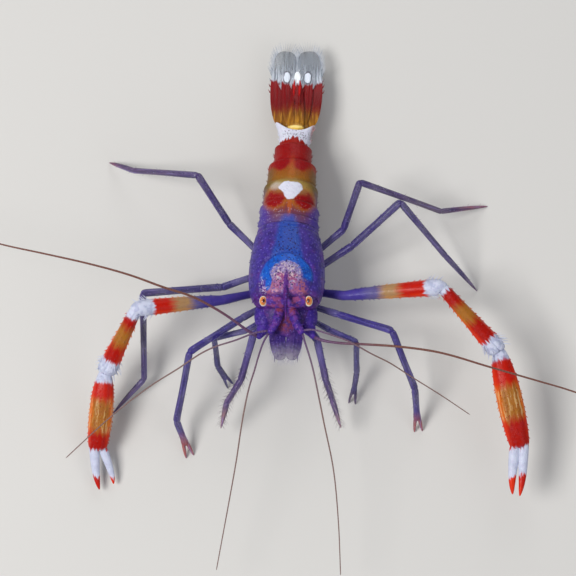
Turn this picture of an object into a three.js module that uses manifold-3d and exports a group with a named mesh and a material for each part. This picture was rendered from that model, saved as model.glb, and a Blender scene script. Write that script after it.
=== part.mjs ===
// A blue-bodied boxer shrimp (a cleaner shrimp) as a life-size still model, in millimetres.
// The head looks along -Y, the animal's left is +X, +Z is up, and the walking legs stand on z = 0.
import * as THREE from "three";
import Module from "manifold-3d";

const wasm = await Module();
wasm.setup();

// ---- driving dimensions, mm and degrees ----
const JOINT_GAP = 0.08; // clear space between neighbouring plates and limb joints
const CARAPACE_HALF_WIDTH = 3.85;
const CARAPACE_HEIGHT_ABOVE_LINE = 3.0;
const CARAPACE_DEPTH_BELOW_LINE = 2.5;
const EYE_RADIUS = 0.4;
const EYE_WIDTH_SHARE = 0.92; // an eye is a little narrower than high
const EYE_LENGTH_SHARE = 1.2; // and a little longer from front to rear
const EYE_SPACING = 4.5;
const FEELER_RADIUS = 0.29;
const TOE_RADIUS = 0.28;
const BLADE_HALF_THICKNESS = 0.25;
const PLEOPOD_LENGTH = 1.9;

// The line through the middle of the body, head to tail: the orbits, the neck, the rear of the
// carapace, then the rear of each of the six abdominal plates: x, y, z.
const BODY_LINE = [
  [-0.1, -1.8, 8.5],
  [0, 2.0, 7.35],
  [0.1, 5.9, 6.45],
  [0.15, 6.8, 6.25],
  [0.25, 8.3, 5.95],
  [0.4, 10.6, 5.4],
  [0.55, 13.1, 4.7],
  [0.65, 15.2, 4.1],
  [0.85, 17.5, 3.5],
];

// The six abdominal plates: half-width, height above and depth below the line at their front, and
// the half-width of the swimming paddles under them.
const SOMITES = [
  { half: 3.05, up: 2.85, down: 2.5, paddle: 0 },
  { half: 3.0, up: 2.85, down: 2.7, paddle: 0.6 },
  { half: 2.8, up: 2.8, down: 2.6, paddle: 0.6 },
  { half: 2.5, up: 2.45, down: 2.3, paddle: 0.55 },
  { half: 2.1, up: 2.0, down: 1.9, paddle: 0.5 },
  { half: 1.65, up: 1.5, down: 1.4, paddle: 0 },
];
const ABDOMEN_END = { half: 1.8, up: 1.05, down: 1.0 };

// Tail fan, in three layers: each blade's line from its base by its widest place to its tip.
const TELSON = { base: [0.87, 17.7, 4.0], wide: [0.93, 19.4, 3.7], tip: [1.1, 23.9, 2.9], half: 0.9 };
const ENDOPOD = { out: 0.95, base: [0.9, 18.0, 3.25], wide: [1.0, 21.4, 2.7], tip: [1.05, 24.2, 2.2] };
const EXOPOD = { out: 1.35, base: [0.87, 17.9, 2.65], wide: [0.87, 21.8, 2.0], tip: [0.87, 26.2, 1.35] };
const ENDOPOD_HALF_WIDTH = 0.62;
const EXOPOD_HALF_WIDTH = 1.02;

// Limbs: hip, then each article's length, its yaw from straight out sideways (+ to the tail)
// and its pitch (+ up), with the half-thickness at its end.
const LIMBS = {
  pereiopod_1: {
    hip: [1.9, -2.3, 4.7],
    thick: 0.34,
    left: [[2.8, -30, 6], [3.4, -31, 28], [4.3, -86, -56], [4.1, -99, -44]],
    right: [[2.5, -34, 7], [3.5, -17, 10], [3.5, -96, -49], [3.6, -128, -51]],
  },
  pereiopod_2: {
    hip: [2.1, -1.0, 4.4],
    thick: 0.4,
    left: [[3.5, -22, 23], [6.3, -23, 24], [7.0, -64, -37], [5.6, -82, -46]],
    right: [[3.2, -34, 26], [7.0, -38, 22], [8.2, -76, -41], [4.6, -111, -37]],
  },
  pereiopod_4: {
    hip: [2.4, 2.4, 3.8],
    thick: 0.42,
    left: [[5.1, 31, 18], [6.8, 38, 26], [7.9, -43, -35], [5.9, -40, -38]],
    right: [[4.6, -22, 15], [8.2, -8, 14], [9.2, -89, -32], [5.0, -45, -24]],
  },
  pereiopod_5: {
    hip: [2.3, 4.0, 3.6],
    thick: 0.4,
    left: [[4.6, 38, 21], [5.3, 68, 32], [10.1, -11, -32], [5.8, 13, -25]],
    right: [[5.1, 42, 21], [6.0, 54, 26], [8.5, 15, -35], [4.5, 31, -40]],
  },
};

// The great claws of the third pair of legs: the arm, then the fixed and the moving finger.
const CHELIPED_HIP = [2.4, 0.5, 3.9];
const CHELIPEDS = {
  left: {
    articles: [[4.3, -16, 36], [10.0, 2, 15], [8.7, -47, -13], [9.6, -77, -12]],
    fixed_finger: [5.1, -95, -6],
    moving_finger: [4.8, -91, -6],
    palm: 1.3,
    wrist: 0.95,
  },
  right: {
    articles: [[5.0, -19, 30], [9.1, -10, 19], [7.9, -60, -34], [7.9, -83, -24]],
    fixed_finger: [4.4, -105, -13],
    moving_finger: [3.9, -106, -13],
    palm: 1.2,
    wrist: 1.05,
  },
};

const MAXILLIPEDS = {
  hip: [2.2, -3.5, 5.3],
  thick: 0.38,
  left: [[1.6, -59, 11], [4.3, -78, 5], [2.2, -69, -39], [3.4, -71, -32]],
  right: [[1.4, -33, 13], [4.9, -75, 5], [3.0, -55, -33], [3.0, -75, -36]],
};

// The thick base of each antenna: x out from the middle of the head, y, z, half-thickness.
const ANTENNA_BASE = [
  [2.2, -2.66, 7.3, 0.5],
  [2.22, -2.86, 7.34, 0.8],
  [2.26, -3.3, 7.44, 0.86],
  [2.36, -3.85, 7.6, 0.74],
  [2.48, -4.4, 7.8, 0.5],
  [2.55, -4.7, 7.92, 0.3],
];

// Feelers as lines of points: x, y, z. The antennae are the long pair.
const FEELERS = {
  antenna_left: [
    [2.9, -5.2, 8.2], [4.8, -5.7, 8.7], [7.7, -6.0, 9.4], [11.2, -6.4, 10.2], [15.1, -7.1, 10.8],
    [20, -8.6, 11.0], [24.9, -10, 10.8], [28.4, -11, 10.4], [32.5, -12.6, 9.5], [36, -14.3, 8.3],
    [38, -15.4, 7.5],
  ],
  antenna_right: [
    [-3.5, -4.7, 8.3], [-5.7, -3.3, 9.4], [-7.6, -2.3, 10.4], [-9.5, -1.5, 11.3], [-12.1, -0.8, 12],
    [-15.5, 0.4, 12.3], [-19.4, 1.5, 12.3], [-23.9, 2.6, 12], [-28.3, 3.7, 11.4], [-32.6, 5.2, 10.3],
    [-36, 6.6, 9.0], [-38, 7.5, 8.1],
  ],
  antennule_inner_left: [
    [1.6, -5.2, 9.2], [2.2, -7.1, 9.4], [2.6, -8.6, 9.3], [3.0, -10.5, 9.0], [3.7, -13.9, 8.2],
    [4.6, -18.2, 7.2], [5.1, -23.5, 6.1], [5.3, -28.5, 5.2],
  ],
  antennule_inner_right: [
    [-2.1, -5.2, 9.2], [-2.8, -7.1, 9.4], [-3.2, -8.6, 9.4], [-3.7, -10.1, 9.2], [-4.4, -13.4, 8.5],
    [-5.0, -17.3, 7.6], [-5.7, -21.1, 6.6], [-7.0, -28, 5.2],
  ],
  antennule_outer_left: [
    [2.4, -4.5, 9.6], [4.3, -5.1, 9.8], [6.2, -5.8, 9.8], [8.2, -6.9, 9.5], [10.2, -7.8, 9.0],
    [12.2, -9.0, 8.4], [15.2, -10.8, 7.9], [18.2, -12.8, 7.6],
  ],
  antennule_outer_right: [
    [-2.9, -4.8, 9.6], [-3.7, -5.1, 9.8], [-5.1, -5.7, 9.9], [-7.1, -6.3, 9.8], [-8.6, -7.0, 9.6],
    [-10.6, -8.3, 9.2], [-13.6, -10.1, 8.6], [-17.4, -12.9, 7.6], [-22, -17, 6.6],
  ],
};

// ---- helpers ----
const UP = new THREE.Vector3(0, 0, 1);
const part = new THREE.Group();
const bodyGroup = new THREE.Group();
part.add(bodyGroup);

const COLOURS = {
  shell: 0x5a3fae,
  abdomen: 0xc8402e,
  fan: 0xb8323a,
  limb: 0x6a66a8,
  claw: 0xe0552e,
  feeler: 0x8a5a50,
  eye: 0xe09a3c,
  flesh: 0x9a8fc0,
};

function vec(point) {
  return new THREE.Vector3(...point);
}

// Direction of a limb article; side is +1 on the animal's left and -1 on its right.
function heading(side, yaw, pitch) {
  const y = THREE.MathUtils.degToRad(yaw);
  const p = THREE.MathUtils.degToRad(pitch);
  return new THREE.Vector3(side * Math.cos(p) * Math.cos(y), Math.cos(p) * Math.sin(y), Math.sin(p));
}

// A closed round solid drawn through stations. Each station has a centre, a half-width, a height
// above and a depth below the centre; the first and last are the flat ends.
function drawn(stations, sides, up = UP) {
  const rows = stations.length - 1;
  const geometry = new THREE.CylinderGeometry(1, 1, 1, sides, rows);
  const position = geometry.getAttribute("position");
  const frames = stations.map((station, i) => {
    const before = stations[Math.max(i - 1, 0)].centre;
    const after = stations[Math.min(i + 1, rows)].centre;
    const along = station.along || after.clone().sub(before).normalize();
    const across = along.clone().cross(up).normalize();
    return { across, above: across.clone().cross(along) };
  });
  for (let v = 0; v < position.count; v++) {
    const i = Math.round((position.getY(v) + 0.5) * rows);
    const { centre, half, above, below } = stations[i];
    const x = position.getX(v) * half;
    const z = position.getZ(v) * (position.getZ(v) > 0 ? above : below);
    const point = centre.clone();
    point.addScaledVector(frames[i].across, x);
    point.addScaledVector(frames[i].above, z);
    position.setXYZ(v, point.x, point.y, point.z);
  }
  return geometry;
}

function station(centre, half, above = half, below = above, along = null) {
  return { centre, half, above, below, along };
}

// Stations of a limb through its joints, rounded at both ends; a toe runs right to its last joint.
function limbStations(joints, radii, flatness, toe) {
  const stations = [];
  const last = joints.length - 1;
  const put = (point, radius) => stations.push(station(point, radius, radius * flatness));
  const from = (joint, towards, distance) =>
    joint.clone().addScaledVector(towards.clone().sub(joint).normalize(), distance);
  joints.forEach((joint, i) => {
    const radius = radii[i];
    if (i === 0) {
      put(from(joint, joints[1], JOINT_GAP + radius * 0.32), radius * 0.55);
      put(from(joint, joints[1], JOINT_GAP + radius * 0.75), radius);
    } else if (i === last) {
      const inset = toe ? 0 : JOINT_GAP + radius * 0.32;
      put(from(joint, joints[last - 1], inset + radius * 0.45), radius);
      put(from(joint, joints[last - 1], inset), radius * 0.55);
    } else {
      put(joint.clone(), radius);
    }
    if (i < last) put(joint.clone().lerp(joints[i + 1], 0.5), ((radius + radii[i + 1]) / 2) * 0.92);
  });
  return stations;
}

// A limb, feeler or spine as one closed solid.
function spar(joints, radii, { sides = 8, flatness = 1, toe = false } = {}) {
  return drawn(limbStations(joints, radii, flatness, toe), sides);
}

// Presses whatever would pass through the floor flat, so a foot stands on a small level face.
function stood(geometry) {
  const position = geometry.getAttribute("position");
  for (let v = 0; v < position.count; v++) {
    if (position.getZ(v) < 0) position.setZ(v, 0);
  }
  return geometry;
}

function toManifold(geometry) {
  const plain = new THREE.BufferGeometry();
  plain.setAttribute("position", geometry.getAttribute("position").clone());
  plain.setIndex(geometry.getIndex());
  const mesh = new wasm.Mesh({
    numProp: 3,
    vertProperties: new Float32Array(plain.getAttribute("position").array),
    triVerts: new Uint32Array(plain.getIndex().array),
  });
  mesh.merge();
  return new wasm.Manifold(mesh);
}

function fromManifold(solid) {
  const mesh = solid.getMesh();
  const geometry = new THREE.BufferGeometry();
  geometry.setAttribute("position", new THREE.BufferAttribute(mesh.vertProperties, 3));
  geometry.setIndex(new THREE.BufferAttribute(mesh.triVerts, 1));
  return geometry;
}

// One closed body from pieces that grow into each other.
function joined(pieces) {
  return fromManifold(wasm.Manifold.union(pieces.map(toManifold)));
}

function add(name, geometry, colour) {
  const material = new THREE.MeshStandardMaterial({ color: colour });
  const mesh = new THREE.Mesh(geometry, material);
  mesh.name = name;
  bodyGroup.add(mesh);
}

// Joints of a limb from its hip and its articles.
function jointsOf(hip, articles, side) {
  const joints = [new THREE.Vector3(side * hip[0], hip[1], hip[2])];
  for (const [length, yaw, pitch] of articles) {
    const next = joints[joints.length - 1].clone();
    joints.push(next.addScaledVector(heading(side, yaw, pitch), length));
  }
  return joints;
}

// Tilts the last article until the middle of the toe sits at the floor.
function footJoints(hip, articles, side) {
  const joints = jointsOf(hip, articles, side);
  const ankle = joints[joints.length - 2];
  const [length, yaw] = articles[articles.length - 1];
  const drop = ankle.z - TOE_RADIUS * 0.1;
  const pitch = -THREE.MathUtils.radToDeg(Math.asin(Math.min(drop / length, 0.98)));
  joints[joints.length - 1] = ankle.clone().addScaledVector(heading(side, yaw, pitch), length);
  return joints;
}

// ---- carapace, rostrum and the underside of the thorax ----
const bodyCurve = new THREE.CatmullRomCurve3(BODY_LINE.map(vec));

// A station square to the body line, at a number of points along it (0 is the orbits).
function bodyStation(at, half, above, below) {
  const share = at / (BODY_LINE.length - 1);
  const along = bodyCurve.getTangent(share);
  return station(bodyCurve.getPoint(share), half, above, below, along);
}

const CARAPACE_PROFILE = [
  // place along the body line, then width, height and depth as shares of the full ones
  [0, 0.78, 0.76, 0.72],
  [0.06, 0.9, 0.86, 0.86],
  [0.25, 0.97, 0.93, 0.92],
  [0.6, 1.01, 0.99, 0.98],
  [1, 1, 1.02, 1],
  [1.5, 0.93, 1.02, 1],
  [1.88, 0.82, 0.98, 0.96],
  [1.97, 0.77, 0.93, 0.9],
];
add(
  "carapace",
  drawn(
    CARAPACE_PROFILE.map(([at, width, height, depth]) =>
      bodyStation(
        at,
        width * CARAPACE_HALF_WIDTH,
        height * CARAPACE_HEIGHT_ABOVE_LINE,
        depth * CARAPACE_DEPTH_BELOW_LINE,
      ),
    ),
    28,
  ),
  COLOURS.shell,
);

const ROSTRUM_LENGTH = 3.0;
const rostrumBase = new THREE.Vector3(-0.12, -1.95, 10.75);
const rostrumTip = rostrumBase.clone().addScaledVector(heading(-1, -90, 38), ROSTRUM_LENGTH);
add("rostrum", spar([rostrumBase, rostrumTip], [0.42, 0.26], { sides: 10 }), COLOURS.shell);

// The sternum slopes up to the mouth, with a short hip for every leg.
const sternum = [
  station(new THREE.Vector3(0.05, 5.2, 3.35), 1.4, 0.5, 0.5),
  station(new THREE.Vector3(0.05, 4.4, 3.45), 1.9, 0.6, 0.7),
  station(new THREE.Vector3(0, 1.5, 4.0), 2.0, 0.7, 0.9),
  station(new THREE.Vector3(-0.05, -1.5, 4.75), 1.7, 0.75, 0.8),
  station(new THREE.Vector3(-0.1, -3.6, 5.3), 1.5, 0.8, 0.7),
  station(new THREE.Vector3(-0.1, -4.4, 5.6), 0.9, 0.6, 0.5),
];
const hips = [
  MAXILLIPEDS.hip,
  LIMBS.pereiopod_1.hip,
  LIMBS.pereiopod_2.hip,
  CHELIPED_HIP,
  LIMBS.pereiopod_4.hip,
  LIMBS.pereiopod_5.hip,
];
const coxae = [];
for (const [x, y, z] of hips) {
  for (const side of [1, -1]) {
    const inner = new THREE.Vector3(side * 0.8, y, z + 0.1);
    coxae.push(spar([inner, new THREE.Vector3(side * x, y, z)], [0.5, 0.42], { sides: 6 }));
  }
}
add("thorax", joined([drawn(sternum, 16), ...coxae]), COLOURS.flesh);

// ---- abdomen: six plates, the middle ones with a pair of swimming paddles ----
const FIRST_SOMITE = 2;
SOMITES.forEach((somite, i) => {
  const next = SOMITES[i + 1] || ABDOMEN_END;
  const profile = [
    [0.03, 0.93],
    [0.2, 1],
    [0.55, 1.02],
    [0.85, 1],
    [0.97, 0.92],
  ];
  const between = (key, share, k) => THREE.MathUtils.lerp(somite[key], next[key], share) * k;
  const shell = drawn(
    profile.map(([share, k]) =>
      bodyStation(
        FIRST_SOMITE + i + share,
        between("half", share, k),
        between("up", share, k),
        between("down", share, k),
      ),
    ),
    18,
  );
  const pieces = [shell];
  if (somite.paddle > 0) {
    for (const side of [1, -1]) {
      const root = bodyCurve.getPoint((FIRST_SOMITE + i + 0.42) / (BODY_LINE.length - 1));
      root.x += side * somite.half * 0.42;
      root.z -= somite.down * 0.55;
      const tip = root.clone().addScaledVector(heading(side, 80, -74), PLEOPOD_LENGTH);
      const radii = [somite.paddle * 0.8, somite.paddle];
      pieces.push(spar([root, tip], radii, { sides: 6, flatness: 0.5 }));
    }
  }
  add(`abdomen_${i + 1}`, pieces.length > 1 ? joined(pieces) : shell, COLOURS.abdomen);
});

// ---- tail fan ----
function blade(base, wide, tip, half, thickness = BLADE_HALF_THICKNESS) {
  const curve = new THREE.CatmullRomCurve3([base, wide, tip]);
  const shares = [
    [0, 0.42],
    [0.12, 0.66],
    [0.35, 0.95],
    [0.6, 1],
    [0.82, 0.9],
    [0.95, 0.66],
    [1, 0.4],
  ];
  return drawn(
    shares.map(([at, width]) => station(curve.getPointAt(at), half * width, thickness)),
    12,
  );
}

const telsonBase = vec(TELSON.base);
const telsonTip = vec(TELSON.tip);
add(
  "telson",
  drawn(
    [
      station(telsonBase, TELSON.half * 0.9, 0.34),
      station(vec(TELSON.wide), TELSON.half, 0.34),
      station(vec(TELSON.wide).lerp(telsonTip, 0.5), TELSON.half * 0.75, 0.28),
      station(vec(TELSON.wide).lerp(telsonTip, 0.9), TELSON.half * 0.5, 0.25),
      station(telsonTip, TELSON.half * 0.28, 0.25),
    ],
    12,
  ),
  COLOURS.fan,
);
for (const [word, side] of [["left", 1], ["right", -1]]) {
  const shift = (point, out) => new THREE.Vector3(point[0] + side * out, point[1], point[2]);
  const inner = ["base", "wide", "tip"].map((key) => shift(ENDOPOD[key], ENDOPOD.out));
  const outer = [
    shift(EXOPOD.base, EXOPOD.out - 0.15),
    shift(EXOPOD.wide, EXOPOD.out + 0.4),
    shift(EXOPOD.tip, EXOPOD.out - 0.1),
  ];
  add(`uropod_endopod_${word}`, blade(...inner, ENDOPOD_HALF_WIDTH), COLOURS.fan);
  add(`uropod_exopod_${word}`, blade(...outer, EXOPOD_HALF_WIDTH), COLOURS.fan);
}

// ---- eyes on short stalks, antennules, antennae and scales ----
const HEAD_MIDDLE = -0.1;
function headPoint(side, x, y, z) {
  return new THREE.Vector3(HEAD_MIDDLE + side * x, y, z);
}

// A feeler drawn through its points between two shares of its length.
function feeler(points, from, to, radius = FEELER_RADIUS) {
  const curve = new THREE.CatmullRomCurve3(points.map(vec));
  const count = Math.max(6, Math.round((curve.getLength() * (to - from)) / 2.6));
  const stations = [];
  for (let i = 0; i <= count; i++) {
    const centre = curve.getPointAt(THREE.MathUtils.lerp(from, to, i / count));
    stations.push(station(centre, radius));
  }
  return drawn(stations, 6);
}

for (const [word, side] of [["left", 1], ["right", -1]]) {
  const eye = headPoint(side, EYE_SPACING / 2, -1.82, 10.3);
  const ball = new THREE.SphereGeometry(EYE_RADIUS, 12, 8);
  ball.scale(EYE_WIDTH_SHARE, EYE_LENGTH_SHARE, 1);
  ball.translate(eye.x, eye.y, eye.z);
  add(`eye_${word}`, ball, COLOURS.eye);
  const stalkRoot = headPoint(side, 0.75, -2.1, 9.95);
  const stalkEnd = eye.clone().lerp(stalkRoot, 0.22);
  add(`eyestalk_${word}`, spar([stalkRoot, stalkEnd], [0.3, 0.36]), COLOURS.shell);

  const antennule = [
    headPoint(side, 0.75, -2.5, 9.0),
    headPoint(side, 1.0, -3.5, 9.25),
    headPoint(side, 1.55, -4.75, 9.2),
  ];
  add(`antennule_${word}`, spar(antennule, [0.42, 0.42, 0.36]), COLOURS.shell);

  const peduncle = ANTENNA_BASE.map(([x, y, z, half]) => station(headPoint(side, x, y, z), half));
  add(`antenna_base_${word}`, drawn(peduncle, 12), COLOURS.shell);

  const scale = [
    headPoint(side, 0.95, -2.7, 7.85),
    headPoint(side, 0.85, -5.2, 8.15),
    headPoint(side, 0.5, -7.3, 8.4),
  ];
  add(`antenna_scale_${word}`, blade(...scale, 0.78), COLOURS.shell);

  const long = FEELERS[`antenna_${word}`];
  add(`antenna_${word}_near`, feeler(long, 0, 0.46), COLOURS.feeler);
  add(`antenna_${word}_far`, feeler(long, 0.463, 1), COLOURS.feeler);
  for (const place of ["inner", "outer"]) {
    const name = `antennule_${place}_${word}`;
    add(name, feeler(FEELERS[name], 0, 1), COLOURS.feeler);
  }
}

// ---- third maxillipeds, walking legs and great claws ----
const sides = [["left", 1], ["right", -1]];
for (const [word, side] of sides) {
  const feeding = jointsOf(MAXILLIPEDS.hip, MAXILLIPEDS[word], side);
  const thick = MAXILLIPEDS.thick;
  add(`maxilliped_${word}`, spar(feeding, [thick, thick, thick, thick, 0.27]), COLOURS.limb);

  for (const [name, limb] of Object.entries(LIMBS)) {
    const joints = footJoints(limb.hip, limb[word], side);
    const t = limb.thick;
    add(`${name}_${word}_upper`, spar(joints.slice(0, 3), [t, t * 1.05, t]), COLOURS.limb);
    const lower = spar(joints.slice(2), [t * 0.95, t * 0.9, TOE_RADIUS], { toe: true });
    add(`${name}_${word}_lower`, stood(lower), COLOURS.limb);
  }

  const claw = CHELIPEDS[word];
  const arm = jointsOf(CHELIPED_HIP, claw.articles, side);
  const merus = spar(arm.slice(0, 3), [0.42, 0.6, 0.9], { sides: 10 });
  add(`cheliped_merus_${word}`, merus, COLOURS.claw);
  add(`cheliped_carpus_${word}`, spar(arm.slice(2, 4), [0.72, claw.wrist], { sides: 10 }), COLOURS.claw);

  const [wrist, knuckle] = arm.slice(3);
  const palmOut = knuckle.clone().sub(wrist).normalize();
  const away = new THREE.Vector3(-palmOut.y, palmOut.x, 0).normalize();
  away.multiplyScalar(Math.sign(away.x * side) || 1);
  const alongPalm = (share) => wrist.clone().lerp(knuckle, share);
  const palm = drawn(
    [
      station(alongPalm(0.02), claw.palm * 0.5, claw.palm * 0.42),
      station(alongPalm(0.12), claw.palm * 0.82, claw.palm * 0.62),
      station(alongPalm(0.45), claw.palm, claw.palm * 0.76),
      station(alongPalm(0.8), claw.palm * 0.96, claw.palm * 0.7),
      station(alongPalm(1), claw.palm * 0.78, claw.palm * 0.5),
    ],
    14,
  );
  const fixedRoot = alongPalm(0.94).addScaledVector(away, claw.palm * 0.48);
  const [fixedLength, ...fixedTurn] = claw.fixed_finger;
  const fixedTip = fixedRoot.clone().addScaledVector(heading(side, ...fixedTurn), fixedLength);
  const fixed = spar([fixedRoot, fixedTip], [0.48, 0.27]);
  add(`cheliped_palm_${word}`, joined([palm, fixed]), COLOURS.claw);
  const movingRoot = alongPalm(1.03).addScaledVector(away, -claw.palm * 0.48);
  const [movingLength, ...movingTurn] = claw.moving_finger;
  const movingTip = movingRoot.clone().addScaledVector(heading(side, ...movingTurn), movingLength);
  add(`cheliped_finger_${word}`, spar([movingRoot, movingTip], [0.44, 0.27]), COLOURS.claw);
}

// ---- the origin: on the floor, under the middle of the whole animal ----
part.updateMatrixWorld(true);
const bounds = new THREE.Box3().setFromObject(bodyGroup, true);
const middle = bounds.getCenter(new THREE.Vector3());
bodyGroup.position.set(-middle.x, -middle.y, -bounds.min.z);

export default part;
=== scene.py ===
"""Dresses a blue-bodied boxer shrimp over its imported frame, as a life-size still model.

Shapes are drawn in millimetres in the animal's own frame: the head looks along -Y, its left is +X and
+Z is up. Each finished piece is then brought to metres in the row frame, with its object at the origin.
"""
import logging
import math
import random
from collections.abc import Callable, Iterable, Iterator, Sequence
from contextlib import contextmanager
from dataclasses import dataclass, field
from enum import Enum
from functools import partial

import bmesh
import bpy
import numpy as np
from mathutils import Matrix, Vector
from mathutils.bvhtree import BVHTree


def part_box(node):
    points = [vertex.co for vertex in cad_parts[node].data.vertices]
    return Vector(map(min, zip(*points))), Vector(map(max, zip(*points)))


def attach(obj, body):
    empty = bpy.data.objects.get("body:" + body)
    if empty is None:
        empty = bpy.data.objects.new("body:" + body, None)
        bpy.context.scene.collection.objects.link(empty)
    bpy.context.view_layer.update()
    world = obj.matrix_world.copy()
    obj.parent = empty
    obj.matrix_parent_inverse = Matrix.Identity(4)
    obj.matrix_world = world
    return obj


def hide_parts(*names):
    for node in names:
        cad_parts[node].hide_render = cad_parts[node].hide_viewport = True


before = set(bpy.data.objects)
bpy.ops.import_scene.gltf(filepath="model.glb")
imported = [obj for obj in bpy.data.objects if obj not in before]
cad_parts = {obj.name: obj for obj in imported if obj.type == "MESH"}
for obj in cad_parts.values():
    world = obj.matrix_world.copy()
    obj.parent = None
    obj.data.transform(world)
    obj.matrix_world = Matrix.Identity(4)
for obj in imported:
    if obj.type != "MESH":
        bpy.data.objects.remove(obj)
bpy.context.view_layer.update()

LOG = logging.getLogger("boxer_shrimp")
MM = 0.001  # metres in a millimetre
UP = Vector((0, 0, 1))
SEED = 11
STEPS = 8  # short steps that a line is drawn with between two knots
SHARP = math.radians(50)  # edges that turn more than this stay sharp
OUTSIDE = 8  # a distance that is outside any piece, mm
SUNK = 0.12  # how much of a thorn stands in the skin, as a share
JITTER = 0.7  # how far a thorn strays along its row, as a share of the spacing
EYE_MIDDLE = Vector((-0.1, -1.82, 10.3))  # the point half-way between the eyes, mm

Pair = tuple[float, float]
Point = tuple[float, float, float]
Pairs = tuple[Pair, ...]
Points = tuple[Point, ...]
Rows = tuple[tuple[float, ...], ...]
Sections = tuple[tuple[Point, float, float, float], ...]  # middles, half-widths, heights and depths in mm
Turn = tuple[float, float, float]  # an article's length, yaw and pitch: mm, degrees, degrees
Stops = Sequence[tuple[float, str]]  # places along a piece in mm and the sRGB colours there
Socket = bpy.types.NodeSocket
Material = bpy.types.Material


class Side(Enum):
    """The two sides of the animal."""

    LEFT = "left"
    RIGHT = "right"

    @property
    def sign(self) -> int:
        """+1 along +X for the left side, -1 for the right one."""
        return 1 if self is Side.LEFT else -1


class Slot(Enum):
    """The record's material slots."""

    CARAPACE = "carapace_shell"
    UNDERSIDE = "underside_cuticle"
    ABDOMEN = "abdomen_shell"
    FAN = "tail_fan_blade"
    LEG = "leg_cuticle"
    CLAW = "claw_cuticle"
    FEELER = "feeler_cuticle"
    CORNEA = "cornea"


# ---- lines through the body and limbs ----


def axes_of(along: Vector) -> Matrix:
    """Returns a line's own axes as columns: across, above and against it.

    Args:
        along: Its direction.
    """
    along = along.normalized()
    across = along.cross(UP)
    across = Vector((1, 0, 0)) if across.length < 1e-6 else across.normalized()
    return Matrix((across, across.cross(along).normalized(), -along)).transposed()


def heading(side: Side, yaw: float, pitch: float) -> Vector:
    """Returns a direction from its yaw towards the tail and its pitch upwards, in degrees."""
    y, p = math.radians(yaw), math.radians(pitch)
    return Vector((side.sign * math.cos(p) * math.cos(y), math.cos(p) * math.sin(y), math.sin(p)))


def joints_of(hip: Point, turns: Sequence[Turn], side: Side) -> list[Vector]:
    """Returns a limb's joints.

    Args:
        hip: The left limb's hip, mm.
        turns: Its articles, from the hip outwards.
        side: Its side.
    """
    joints = [Vector((side.sign * hip[0], hip[1], hip[2]))]
    for length, yaw, pitch in turns:
        joints.append(joints[-1] + heading(side, yaw, pitch) * length)
    return joints


def smooth_step(value: np.ndarray | float) -> np.ndarray:
    """Returns an even ease from 0 to 1 as value goes from 0 to 1."""
    v = np.clip(value, 0, 1)
    return v * v * (3 - 2 * v)


def hump(value: np.ndarray, middle: float, width: float) -> np.ndarray:
    """Returns a bell that is 1 where value is at the middle and fades over a width."""
    return np.exp(-(((value - middle) / width) ** 2))


@dataclass(frozen=True)
class Ring:
    """One cross-section of a drawn form, square to its line: mm."""

    centre: Vector
    along: Vector
    half: float
    above: float
    below: float


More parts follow.
